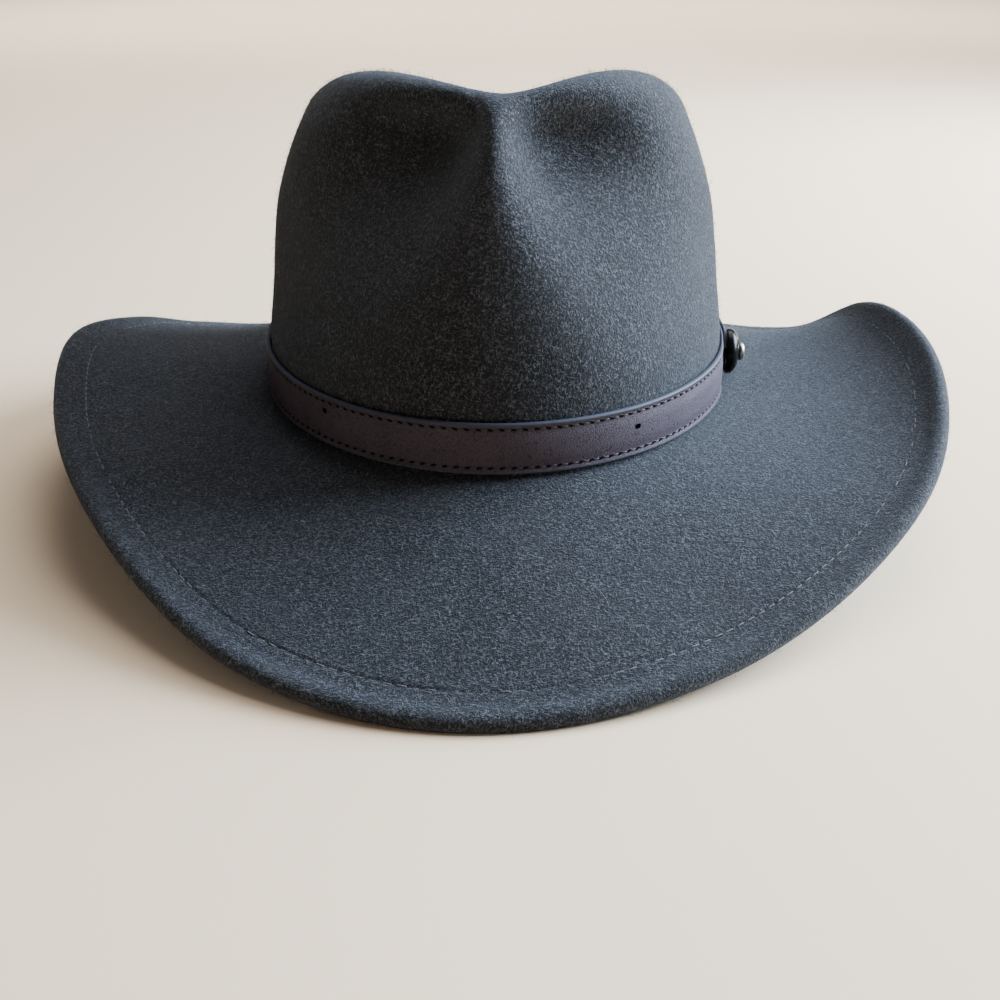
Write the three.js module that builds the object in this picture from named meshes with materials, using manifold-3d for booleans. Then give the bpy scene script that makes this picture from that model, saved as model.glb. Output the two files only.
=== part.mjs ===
// An outback hat of dark felt. Crown and brim are one shell of felt with a folded brim edge.
// A leather strap goes once round the foot of the crown, laps over itself at the wearer's left,
// and is held there by a round button on a metal stud.
// Millimetres, +Z up, the front of the hat towards -Y. Azimuths are degrees in plan:
// 0 is +X, 90 the back, 180 is -X and 270 the front.
import * as THREE from 'three';
import Module from 'manifold-3d';
import { mergeVertices } from 'three/addons/utils/BufferGeometryUtils.js';

// Felt: one layer, and the brim edge where it is folded under and doubled
const FELT = 2.4;
const FOLD_THICKNESS = 4.6;
const FOLD_WIDTH = 10;
const FOLD_STEP = 1.5;

// Foot of the crown: half width and half length of the outside, and the fillet into the brim
const FOOT_SIDE = 84;
const FOOT_END = 103;
const FILLET = 1.2;

// Crown before it is dented: height over the brim break, half width, reach to front and back
const CROWN_ROWS = [
  { height: 1.2, side: 84, front: 103, back: 103 },
  { height: 20, side: 83.4, front: 102, back: 102.5 },
  { height: 36, side: 81.9, front: 99, back: 101.5 },
  { height: 52, side: 80, front: 94.5, back: 99.5 },
  { height: 67, side: 77.4, front: 89, back: 96 },
  { height: 82, side: 72.6, front: 82.5, back: 91 },
  { height: 95, side: 67.2, front: 75.5, back: 84 },
  { height: 104, side: 62.5, front: 68, back: 76 },
  { height: 110.5, side: 55, front: 58.5, back: 66 },
  { height: 114.5, side: 45, front: 46.5, back: 53 },
  { height: 117, side: 32, front: 31.5, back: 36 },
  { height: 118, side: 16, front: 16, back: 18 },
  { height: 118.4, side: 0, front: 0, back: 0 },
];
const CROWN_TOP = 118.4;

// The crown falls towards the back. It leans to -X by the first amount, in step with its height,
// and back to +X by the second, mostly near the top.
const BACK_DROP = { depth: 21, from: -75, to: 115 };
const CROWN_LEAN = { low: -1.6, high: 2.6 };

// Crease along the top of the crown, wider towards the back and on its left flank
const CREASE = { depth: 28.5, middle: 1.6, frontWidth: 14, backWidth: 21, sharpness: 1.6 };
const CREASE_FLANKS = { left: 1.2, right: 1.08 };
const CREASE_RUN = { front: -76, frontFull: -14, backFull: 35, back: 84 };

// Two hollows pinched into the front, with a ridge between them. Ridge and hollows are that
// wide at the deepest height, and widen by a share of the height below it. The hollows end
// quickly upwards and slowly downwards, by the slant still more slowly away from the ridge,
// and are gone above the strap.
const PINCH = { depth: 20, height: 96, spreadUp: 9, spreadDown: 16, slant: 0.6, reach: 46, widening: 1.1 };
const PINCH_FOOT = { from: 18, to: 40 };
const RIDGE = { middle: -0.5, width: 11, widening: 0.2 };
const PINCH_PUSH = { inward: 0.15, back: 0.93, down: 0.2 };

// Brim, a row for each section: how far its edge reaches out from the foot of the crown, the
// height of the edge over the break, and the slope of the felt at the break and at the edge
const BRIM_ROWS = [
  { azimuth: 5, reach: 78, height: 15, breakSlope: -4, edgeSlope: 50 },
  { azimuth: 18, reach: 80, height: 9.5, breakSlope: -5, edgeSlope: 38 },
  { azimuth: 33, reach: 82, height: -15.5, breakSlope: -12, edgeSlope: -2 },
  { azimuth: 52, reach: 82, height: -28, breakSlope: -20, edgeSlope: -16 },
  { azimuth: 90, reach: 82, height: -33, breakSlope: -22, edgeSlope: -18 },
  { azimuth: 128, reach: 82, height: -28, breakSlope: -20, edgeSlope: -16 },
  { azimuth: 147, reach: 81, height: -13, breakSlope: -12, edgeSlope: -3 },
  { azimuth: 162, reach: 79, height: 2.5, breakSlope: -5, edgeSlope: 10 },
  { azimuth: 179, reach: 79.5, height: 12, breakSlope: 0, edgeSlope: 21 },
  { azimuth: 197, reach: 75.5, height: 6, breakSlope: -3, edgeSlope: 15 },
  { azimuth: 214, reach: 74, height: -2.5, breakSlope: -7, edgeSlope: 5 },
  { azimuth: 230, reach: 74, height: -16.5, breakSlope: -13, edgeSlope: -8 },
  { azimuth: 248, reach: 78.5, height: -28, breakSlope: -19, edgeSlope: -16 },
  { azimuth: 268, reach: 81, height: -32.5, breakSlope: -21, edgeSlope: -19 },
  { azimuth: 290, reach: 76, height: -28.5, breakSlope: -20, edgeSlope: -17 },
  { azimuth: 308, reach: 75.5, height: -18, breakSlope: -14, edgeSlope: -9 },
  { azimuth: 326, reach: 78, height: -3, breakSlope: -8, edgeSlope: 14 },
  { azimuth: 345, reach: 77, height: 10, breakSlope: -5, edgeSlope: 40 },
];

// The brim stands on its front and back, where the felt is pressed flat over this width
const REST_HEIGHT = -34.6;
const REST_WIDTH = 6;

// Mesh of the felt, its columns closer together at the front
const AROUND = 72;
const FRONT_CROWDING = 0.3;
const CROWN_RINGS = 20;
const BRIM_RINGS = 8;
const EDGE_RINGS = 4;
const INNER_CROWN_RINGS = 15;

// Clearance between pieces that touch
const CLEARANCE = 0.3;

// Leather strap: its section, and the lap where both ends are pared to half their thickness.
// The outer end starts under the button, with a rounded tip, and the inner end runs on beneath it.
const STRAP = { thickness: 2, height: 16.3, bottom: 1.5, chamfer: 0.35 };
const STRAP_START = -10;
const STRAP_END = 376;
const LAP = { thickness: 1, outerFrom: 17, outerTo: 27, innerFrom: 336, innerTo: 348 };
const STRAP_STEP = 5;
const TIP = { length: 7, sections: 4, endShare: 0.35 };

// Punched sizing holes in the strap
const HOLE = { halfWidth: 1.2, halfHeight: 0.8, sides: 12 };
const HOLES = [
  { azimuth: 301, height: 11.2 },
  { azimuth: 231, height: 13 },
];

// Button and stud, about an axis that points straight out of the strap
const BUTTON = { azimuth: -7, height: 9.6, radius: 8.3, edge: 0.5, rim: 1.2, dome: 4.6, bore: 1.6 };
const DOME_ANGLES = [20, 40, 60];
const STUD = { radius: 1.3, headRadius: 3.3, headHeight: 1.9, seatEdge: 0.25, topEdge: 0.7 };
const ROUND_SIDES = 28;

const MATERIALS = {
  felt: { color: 0x3b3b40, roughness: 1, metalness: 0 },
  leather: { color: 0x5d4d55, roughness: 0.5, metalness: 0 },
  gloss: { color: 0x08080a, roughness: 0.12, metalness: 0 },
  metal: { color: 0xb9b9b2, roughness: 0.25, metalness: 1 },
};

const radians = THREE.MathUtils.degToRad;
const smoothstep = THREE.MathUtils.smoothstep;

// Cubic through four values, from the second at t = 0 to the third at t = 1, whose slopes
// there are those of the lines through the neighbours on each side
function cubic(values, places, t) {
  const [v0, v1, v2, v3] = values;
  const [p0, p1, p2, p3] = places;
  const span = p2 - p1;
  const slope1 = ((v2 - v0) / (p2 - p0)) * span;
  const slope2 = ((v3 - v1) / (p3 - p1)) * span;
  const t2 = t * t;
  const t3 = t2 * t;
  return (2 * t3 - 3 * t2 + 1) * v1 + (t3 - 2 * t2 + t) * slope1
    + (3 * t2 - 2 * t3) * v2 + (t3 - t2) * slope2;
}

// Row of the crown table at level 0, the foot, to 1, the top
function crownRow(level) {
  const last = CROWN_ROWS.length - 1;
  const place = Math.min(Math.max(level, 0), 1) * last;
  const index = Math.min(Math.floor(place), last - 1);
  const places = [index - 1, index, index + 1, index + 2].map((i) => Math.min(Math.max(i, 0), last));
  const row = {};
  for (const key of ['height', 'side', 'front', 'back']) {
    row[key] = cubic(places.map((i) => CROWN_ROWS[i][key]), places, place - index);
  }
  return row;
}

// Row of the brim table at an azimuth, the rows going round and round
function brimRow(azimuth) {
  const count = BRIM_ROWS.length;
  const turn = ((azimuth % 360) + 360) % 360;
  const next = BRIM_ROWS.findIndex((row) => row.azimuth > turn);
  const after = next === -1 ? count : next;
  const around = [after - 2, after - 1, after, after + 1].map((i) => {
    const row = BRIM_ROWS[((i % count) + count) % count];
    return { ...row, azimuth: row.azimuth + 360 * Math.floor(i / count) };
  });
  const places = around.map((row) => row.azimuth);
  const t = (turn - places[1]) / (places[2] - places[1]);
  const row = {};
  for (const key of ['reach', 'height', 'breakSlope', 'edgeSlope']) {
    row[key] = cubic(around.map((r) => r[key]), places, t);
  }
  return row;
}

// Unit vector that points straight out of the foot of the crown, in plan
function outward(azimuth) {
  const angle = radians(azimuth);
  return new THREE.Vector3(Math.cos(angle) / FOOT_SIDE, Math.sin(angle) / FOOT_END, 0).normalize();
}

// How far the crease is pressed down at a place on the crown
function creaseDepth(x, y) {
  const { front, frontFull, backFull, back } = CREASE_RUN;
  const fromMiddle = x - CREASE.middle;
  const flank = fromMiddle < 0 ? CREASE_FLANKS.left : CREASE_FLANKS.right;
  const width = THREE.MathUtils.lerp(CREASE.frontWidth, CREASE.backWidth, smoothstep(y, front, 0));
  const across = Math.exp(-(Math.abs(fromMiddle / (width * flank)) ** CREASE.sharpness));
  const along = smoothstep(y, front, frontFull) * (1 - smoothstep(y, backFull, back));
  return CREASE.depth * across * along;
}

// How far the front is pushed in at a place across the crown and a height on it
function pinchDepth(x, height) {
  const off = Math.abs(x - RIDGE.middle);
  const above = height - PINCH.height;
  const below = Math.max(-above, 0);
  const ridge = RIDGE.width + RIDGE.widening * below;
  const reach = PINCH.reach + PINCH.widening * below;
  const across = (1 - Math.exp(-((off / ridge) ** 2))) * Math.exp(-((off / reach) ** 4));
  const spread = above > 0 ? PINCH.spreadUp : PINCH.spreadDown + PINCH.slant * off;
  return PINCH.depth * across * Math.exp(-((above / spread) ** 2));
}

// Outside of the crown, with its crease and its two front hollows
function crownPoint(azimuth, level) {
  const angle = radians(azimuth);
  const row = crownRow(level);
  const sine = Math.sin(angle);
  const x = row.side * Math.cos(angle);
  const y = (sine < 0 ? row.front : row.back) * sine;
  const share = row.height / CROWN_TOP;
  const rise = share ** 3;
  const drop = BACK_DROP.depth * rise * smoothstep(y, BACK_DROP.from, BACK_DROP.to);
  const point = new THREE.Vector3(x, y, row.height - drop - creaseDepth(x, y) * rise);
  point.x += CROWN_LEAN.low * share + CROWN_LEAN.high * share ** 4;
  const facing = smoothstep(-y, 0, FOOT_SIDE / 2);
  const push = pinchDepth(x, row.height) * facing * smoothstep(row.height, PINCH_FOOT.from, PINCH_FOOT.to);
  point.x -= Math.sign(x - RIDGE.middle) * push * PINCH_PUSH.inward;
  point.y += push * PINCH_PUSH.back;
  point.z -= push * PINCH_PUSH.down;
  return point;
}

// Fillet between crown and brim, from the wall at turn 0 to the brim at turn 1
function filletPoint(azimuth, turn) {
  const angle = radians(90 * turn);
  const point = crownPoint(azimuth, 0);
  point.addScaledVector(outward(azimuth), FILLET * (1 - Math.cos(angle)));
  point.z = FILLET * (1 - Math.sin(angle));
  return point;
}

// Upper face of the brim, from the fillet at across 0 to the edge at across 1
function brimPoint(azimuth, across) {
  const row = brimRow(azimuth);
  const run = row.reach - FILLET;
  const length = Math.hypot(run, row.height);
  const startSlope = radians(row.breakSlope);
  const endSlope = radians(row.edgeSlope);
  const t2 = across * across;
  const t3 = t2 * across;
  const start = t3 - 2 * t2 + across;
  const finish = t3 - t2;
  const blend = 3 * t2 - 2 * t3;
  const out = run * blend + length * (start * Math.cos(startSlope) + finish * Math.cos(endSlope));
  const up = row.height * blend + length * (start * Math.sin(startSlope) + finish * Math.sin(endSlope));
  const point = filletPoint(azimuth, 1);
  point.addScaledVector(outward(azimuth), out);
  point.z += up;
  return point;
}

// Outward normal of a surface that is a function of azimuth and of a second number that
// grows downwards or outwards
function surfaceNormal(surface, azimuth, place) {
  const step = 1e-3;
  const before = Math.max(place - step, 0);
  const after = Math.min(place + step, 1);
  const along = surface(azimuth, after).sub(surface(azimuth, before));
  const around = surface(azimuth + 0.1, place).sub(surface(azimuth - 0.1, place));
  return along.cross(around).normalize();
}

const crownDown = (azimuth, place) => crownPoint(azimuth, 1 - place);

// Point at a depth under the outside of the felt
function under(surface, azimuth, place, depth) {
  const normal = surfaceNormal(surface, azimuth, place);
  return surface(azimuth, place).addScaledVector(normal, -depth);
}

// Rings of the closed felt shell, from the outside of the crown over the brim edge to its inside
function feltRings() {
  const rings = [];
  for (let ring = 1; ring <= CROWN_RINGS; ring += 1) {
    rings.push((azimuth) => crownDown(azimuth, ring / CROWN_RINGS));
  }
  rings.push((azimuth) => filletPoint(azimuth, 0.5));

  const roll = FOLD_THICKNESS / 2;
  const inFromEdge = (azimuth, distance) => 1 - distance / brimRow(azimuth).reach;
  for (let ring = 0; ring <= BRIM_RINGS; ring += 1) {
    const share = ring / BRIM_RINGS;
    rings.push((azimuth) => brimPoint(azimuth, inFromEdge(azimuth, roll) * share));
  }
  for (let ring = 1; ring <= EDGE_RINGS; ring += 1) {
    const angle = (Math.PI * ring) / EDGE_RINGS;
    rings.push((azimuth) => {
      const place = inFromEdge(azimuth, roll);
      const normal = surfaceNormal(brimPoint, azimuth, place);
      const out = brimPoint(azimuth, 1).sub(brimPoint(azimuth, place)).normalize();
      const point = brimPoint(azimuth, place).addScaledVector(normal, -roll);
      point.addScaledVector(normal, roll * Math.cos(angle)).addScaledVector(out, roll * Math.sin(angle));
      point.z = Math.max(point.z, REST_HEIGHT);
      return point;
    });
  }
  for (const distance of [REST_WIDTH, FOLD_WIDTH]) {
    rings.push((azimuth) => {
      const point = under(brimPoint, azimuth, inFromEdge(azimuth, distance), FOLD_THICKNESS);
      point.z = Math.max(point.z, REST_HEIGHT);
      return point;
    });
  }
  for (let ring = 0; ring < BRIM_RINGS - 1; ring += 1) {
    const share = 1 - ring / (BRIM_RINGS - 1);
    rings.push((azimuth) => {
      const place = inFromEdge(azimuth, FOLD_WIDTH + FOLD_STEP) * share;
      return under(brimPoint, azimuth, place, FELT);
    });
  }
  rings.push((azimuth) => under(filletPoint, azimuth, 0.5, FELT));
  for (let ring = 0; ring < INNER_CROWN_RINGS; ring += 1) {
    rings.push((azimuth) => under(crownDown, azimuth, 1 - ring / INNER_CROWN_RINGS, FELT));
  }
  return rings;
}

// Geometry from flat lists of corners and faces
function meshGeometry(positions, faces) {
  const geometry = new THREE.BufferGeometry();
  geometry.setAttribute('position', new THREE.Float32BufferAttribute(positions, 3));
  geometry.setIndex(faces);
  geometry.computeVertexNormals();
  return geometry;
}

// Azimuth of a column of the mesh
function columnAzimuth(step) {
  const turn = (2 * Math.PI * step) / AROUND;
  return THREE.MathUtils.radToDeg(turn - FRONT_CROWDING * Math.cos(turn));
}

// Felt body: the rings joined by quads, and closed by a fan at the top inside and outside
function feltGeometry() {
  const rings = feltRings();
  const top = crownPoint(0, 1);
  const positions = [...top.toArray()];
  for (const ring of rings) {
    for (let step = 0; step < AROUND; step += 1) {
      positions.push(...ring(columnAzimuth(step)).toArray());
    }
  }
  positions.push(top.x, top.y, top.z - FELT);
  const lastPoint = positions.length / 3 - 1;
  const corner = (ring, step) => 1 + ring * AROUND + (step % AROUND);
  const faces = [];
  for (let step = 0; step < AROUND; step += 1) {
    faces.push(0, corner(0, step), corner(0, step + 1));
    faces.push(lastPoint, corner(rings.length - 1, step + 1), corner(rings.length - 1, step));
    for (let ring = 0; ring < rings.length - 1; ring += 1) {
      const [a, b] = [corner(ring, step), corner(ring, step + 1)];
      const [c, d] = [corner(ring + 1, step), corner(ring + 1, step + 1)];
      faces.push(a, c, d, a, d, b);
    }
  }
  return meshGeometry(positions, faces);
}

// Level of the crown table at a height on the wall, found by halving
function levelAtHeight(height) {
  let low = 0;
  let high = 0.5;
  while (high - low > 1e-6) {
    const middle = (low + high) / 2;
    if (crownRow(middle).height < height) low = middle;
    else high = middle;
  }
  return low;
}

// Point outside the wall of the crown, at a height and a distance out from the felt
function wallPoint(azimuth, height, out) {
  return crownPoint(azimuth, levelAtHeight(height)).addScaledVector(outward(azimuth), out);
}

// Where the strap's inner face lies out from the felt, and how thick the strap is, on its run
function strapLayer(azimuth) {
  const outer = 1 - smoothstep(azimuth, LAP.outerFrom, LAP.outerTo);
  const inner = smoothstep(azimuth, LAP.innerFrom, LAP.innerTo);
  return {
    out: CLEARANCE + outer * (LAP.thickness + CLEARANCE),
    thickness: THREE.MathUtils.lerp(STRAP.thickness, LAP.thickness, Math.max(outer, inner)),
  };
}

// Azimuths of the strap's sections, close together at its rounded outer tip
function strapAzimuths() {
  const tipTurn = THREE.MathUtils.radToDeg(TIP.length / FOOT_SIDE);
  const azimuths = [];
  for (let step = 0; step < TIP.sections; step += 1) {
    const share = 1 - Math.cos((Math.PI / 2) * (step / TIP.sections));
    azimuths.push(STRAP_START + tipTurn * share);
  }
  const steps = Math.round((STRAP_END - STRAP_START - tipTurn) / STRAP_STEP);
  for (let step = 0; step <= steps; step += 1) {
    azimuths.push(THREE.MathUtils.lerp(STRAP_START + tipTurn, STRAP_END, step / steps));
  }
  return azimuths;
}

// Share of the strap's height that its rounded tip keeps at an azimuth
function tipShare(azimuth) {
  const distance = Math.min(radians(azimuth - STRAP_START) * FOOT_SIDE, TIP.length);
  const rounded = Math.sqrt(Math.max(1 - (1 - distance / TIP.length) ** 2, 0));
  return THREE.MathUtils.lerp(TIP.endShare, 1, rounded);
}

// Corners of the strap's section at a thickness, as [out, up] from its inner face and middle
function strapSection(thickness) {
  const { chamfer } = STRAP;
  const half = STRAP.height / 2;
  return [
    [0, chamfer - half], [chamfer, -half], [thickness - chamfer, -half], [thickness, chamfer - half],
    [thickness, half - chamfer], [thickness - chamfer, half], [chamfer, half], [0, half - chamfer],
  ];
}

// Strap: a chamfered section carried round the crown, with flat ends
function strapGeometry() {
  const positions = [];
  const azimuths = strapAzimuths();
  for (const azimuth of azimuths) {
    const { out, thickness } = strapLayer(azimuth);
    for (const [along, up] of strapSection(thickness)) {
      const height = STRAP.bottom + STRAP.height / 2 + up * tipShare(azimuth);
      positions.push(...wallPoint(azimuth, height, out + along).toArray());
    }
  }
  const count = strapSection(STRAP.thickness).length;
  const faces = [];
  for (let step = 0; step < azimuths.length - 1; step += 1) {
    for (let side = 0; side < count; side += 1) {
      const next = (side + 1) % count;
      const [a, b] = [step * count + side, step * count + next];
      faces.push(a, b + count, b, a, a + count, b + count);
    }
  }
  const end = (azimuths.length - 1) * count;
  for (let side = 1; side < count - 1; side += 1) {
    faces.push(0, side, side + 1);
    faces.push(end, end + side + 1, end + side);
  }
  return meshGeometry(positions, faces);
}

// Turn that carries +Y of a lathe onto the outward direction at an azimuth
function outwardTurn(azimuth) {
  return new THREE.Quaternion().setFromUnitVectors(new THREE.Vector3(0, 1, 0), outward(azimuth));
}

// Cutter through the strap, along its outward direction: an oval prism
function strapCutter(azimuth, height, halfWidth, halfHeight) {
  const reach = 3 * (STRAP.thickness + CLEARANCE);
  const geometry = new THREE.CylinderGeometry(1, 1, reach, HOLE.sides);
  geometry.scale(halfHeight, 1, halfWidth);
  geometry.applyQuaternion(outwardTurn(azimuth));
  const place = wallPoint(azimuth, height, reach / 2 - CLEARANCE);
  geometry.translate(place.x, place.y, place.z);
  return geometry;
}

// Lathe of a profile of [radius, out] points about the button's outward axis
function turned(profile, out) {
  const points = profile.map(([radius, along]) => new THREE.Vector2(radius, along));
  const geometry = new THREE.LatheGeometry(points, ROUND_SIDES);
  geometry.applyQuaternion(outwardTurn(BUTTON.azimuth));
  const place = wallPoint(BUTTON.azimuth, BUTTON.height, out);
  geometry.translate(place.x, place.y, place.z);
  return geometry;
}

// Where the button's flat back lies, out from the felt
const buttonOut = 3 * CLEARANCE + 2 * LAP.thickness;

// Button: a low dome on a narrow rim, bored for the stud
function buttonGeometry() {
  const { radius, edge, rim, dome, bore } = BUTTON;
  const profile = [[bore, 0], [radius - edge, 0], [radius, edge], [radius, rim]];
  for (const degrees of DOME_ANGLES) {
    const angle = radians(degrees);
    profile.push([radius * Math.cos(angle), rim + (dome - rim) * Math.sin(angle)]);
  }
  profile.push([STUD.headRadius, dome], [bore, dome], [bore, 0]);
  return turned(profile, buttonOut);
}

// Stud: a shank through strap and button, with a low round head
function studGeometry() {
  const { radius, headRadius, headHeight, seatEdge, topEdge } = STUD;
  const seat = BUTTON.dome + CLEARANCE;
  const foot = CLEARANCE - buttonOut;
  const top = seat + headHeight;
  const profile = [
    [0, foot], [radius, foot], [radius, seat], [headRadius - seatEdge, seat],
    [headRadius, seat + seatEdge], [headRadius, top - topEdge], [headRadius - topEdge, top], [0, top],
  ];
  return turned(profile, buttonOut);
}

// Boolean solids for the strap's holes
const wasm = await Module();
wasm.setup();

function toManifold(geometry) {
  const bare = geometry.clone();
  bare.deleteAttribute('normal');
  bare.deleteAttribute('uv');
  const merged = mergeVertices(bare);
  return new wasm.Manifold(new wasm.Mesh({
    numProp: 3,
    vertProperties: Float32Array.from(merged.getAttribute('position').array),
    triVerts: Uint32Array.from(merged.getIndex().array),
  }));
}

function fromManifold(solid) {
  const { vertProperties, triVerts } = solid.getMesh();
  return meshGeometry(vertProperties, Array.from(triVerts));
}

function piercedStrap() {
  let solid = toManifold(strapGeometry());
  for (const hole of HOLES) {
    const cutter = strapCutter(hole.azimuth, hole.height, HOLE.halfWidth, HOLE.halfHeight);
    solid = solid.subtract(toManifold(cutter));
  }
  const bore = STUD.radius + CLEARANCE;
  solid = solid.subtract(toManifold(strapCutter(BUTTON.azimuth, BUTTON.height, bore, bore)));
  return fromManifold(solid);
}

// Named mesh of a piece
function piece(name, geometry, material) {
  const mesh = new THREE.Mesh(geometry, new THREE.MeshStandardMaterial(MATERIALS[material]));
  mesh.name = name;
  return mesh;
}

const hat = new THREE.Group();
hat.add(piece('felt_body', feltGeometry(), 'felt'));
hat.add(piece('hat_band', piercedStrap(), 'leather'));
hat.add(piece('band_button', buttonGeometry(), 'gloss'));
hat.add(piece('button_stud', studGeometry(), 'metal'));

// Origin under the middle of the hat, on the surface that it stands on
const box = new THREE.Box3().setFromObject(hat, true);
const middle = box.getCenter(new THREE.Vector3());
hat.position.set(-middle.x, -middle.y, -box.min.z);

export default hat;
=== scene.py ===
"""Looks of a dark felt outback hat with a stitched leather band, dressed over its solids.

Shapes are worked out in millimetres in the crown's own frame, with +Z up, the front of the hat
towards -Y and z = 0 where the brim leaves the crown. `to_row` turns them into metres in the
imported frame. Azimuths are degrees in plan: 0 is +X, 90 the back and 270 the front.
"""

import logging
from dataclasses import dataclass
from enum import Enum
from typing import Callable, NamedTuple

import bpy
import numpy as np
from bpy.types import ID, Material, Mesh, Node, NodeSocket, NodeTree, Object
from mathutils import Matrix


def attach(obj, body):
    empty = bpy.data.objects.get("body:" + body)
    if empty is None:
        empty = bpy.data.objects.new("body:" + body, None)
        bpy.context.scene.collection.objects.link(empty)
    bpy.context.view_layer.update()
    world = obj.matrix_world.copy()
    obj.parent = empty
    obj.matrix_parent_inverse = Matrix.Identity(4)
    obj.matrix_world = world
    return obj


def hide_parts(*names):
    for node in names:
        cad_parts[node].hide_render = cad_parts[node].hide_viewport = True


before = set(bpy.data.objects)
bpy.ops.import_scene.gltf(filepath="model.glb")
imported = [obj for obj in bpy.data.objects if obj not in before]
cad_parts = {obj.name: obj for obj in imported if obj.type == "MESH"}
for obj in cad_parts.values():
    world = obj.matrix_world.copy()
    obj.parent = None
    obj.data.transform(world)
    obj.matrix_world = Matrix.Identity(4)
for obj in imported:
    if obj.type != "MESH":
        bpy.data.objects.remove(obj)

LOG = logging.getLogger("outback_hat")
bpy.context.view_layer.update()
ORIGIN_MM = np.array([0.076, -0.614, 34.6])
MM = 0.001
HAT_MIDDLE = (0.0, 0.0, 0.08)
PLACE_STEP = 1e-3
AZIMUTH_STEP = 0.1
NEARLY_UPRIGHT = 0.9
UP = np.array([0.0, 0.0, 1.0])
Array = np.ndarray
Amount = float | Array
Surface = Callable[[Array, Array], Array]
Colour = tuple[float, float, float, float]
Pair = tuple[float, float]
Place = tuple[float, float, float]


def to_row(points: Array) -> Array:
    """Millimetres in the crown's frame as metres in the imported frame: shifted, then scaled."""
    return (points + ORIGIN_MM) * MM


def smoothstep(value: Array, low: float, high: float) -> Array:
    """Ramp from 0 at low to 1 at high, level at both ends: 3t squared less 2t cubed."""
    t = np.clip((value - low) / (high - low), 0.0, 1.0)
    return t * t * (3.0 - 2.0 * t)


def unit(vectors: Array) -> Array:
    """Vectors divided by their lengths."""
    return vectors / np.maximum(np.linalg.norm(vectors, axis=-1, keepdims=True), 1e-12)


def bell(off: Array, width: Amount) -> Array:
    """Bell from 1 in the middle towards 0: e to the minus square of the distance in widths."""
    return np.exp(-((off / width) ** 2))


def full_turn(sides: int) -> Array:
    """Angles in radians that go round once in equal steps."""
    return np.linspace(0.0, 2 * np.pi, sides, endpoint=False)


def together(first: Amount, second: Amount) -> list[Array]:
    """Both as arrays of the same shape."""
    return np.broadcast_arrays(np.asarray(first, float), np.asarray(second, float))


def sideways(out: Array) -> Array:
    """Level vector a quarter turn round in plan from one that points out."""
    return np.array([-out[1], out[0], 0.0])


def run_length(line: Array) -> Array:
    """Length run along a line from its first point to each of its points."""
    return np.append(0.0, np.cumsum(np.linalg.norm(np.diff(line, axis=0), axis=-1)))


def cubic(values: Array, places: Array, share: Array) -> Array:
    """Cubic between the second and the third of four values.

    Hermite's blend of the two middle values, whose slopes are those of the lines through the
    neighbours on each side.

    Args:
        values: The four values, on the last axis.
        places: Where they lie, on the last axis.
        share: How far along from the second, 0, to the third, 1.

    Returns:
        The blended values.
    """
    v0, v1, v2, v3 = np.moveaxis(values, -1, 0)
    p0, p1, p2, p3 = np.moveaxis(places, -1, 0)
    span = p2 - p1
    slope1 = (v2 - v0) / (p2 - p0) * span
    slope2 = (v3 - v1) / (p3 - p1) * span
    t2, t3 = share**2, share**3
    start = (2 * t3 - 3 * t2 + 1) * v1 + (t3 - 2 * t2 + share) * slope1
    return start + (3 * t2 - 2 * t3) * v2 + (t3 - t2) * slope2


def surface_normal(surface: Surface, azimuth: Array, place: Array) -> Array:
    """Outward normals of a surface of azimuth and of a place that grows down or out.

    The cross product of the steps along the place and along the azimuth, at unit length.

    Args:
        surface: Function of azimuth and place.
        azimuth: Degrees in plan.
        place: From 0 to 1.

    Returns:
        Unit vectors on the last axis.
    """
    low, high = np.maximum(place - PLACE_STEP, 0.0), np.minimum(place + PLACE_STEP, 1.0)
    along = surface(azimuth, high) - surface(azimuth, low)
    around = surface(azimuth + AZIMUTH_STEP, place) - surface(azimuth - AZIMUTH_STEP, place)
    return unit(np.cross(along, around))


class CrownRow(NamedTuple):
    """One section of the crown before it is dented."""

    height: float
    side: float
    front: float
    back: float


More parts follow.
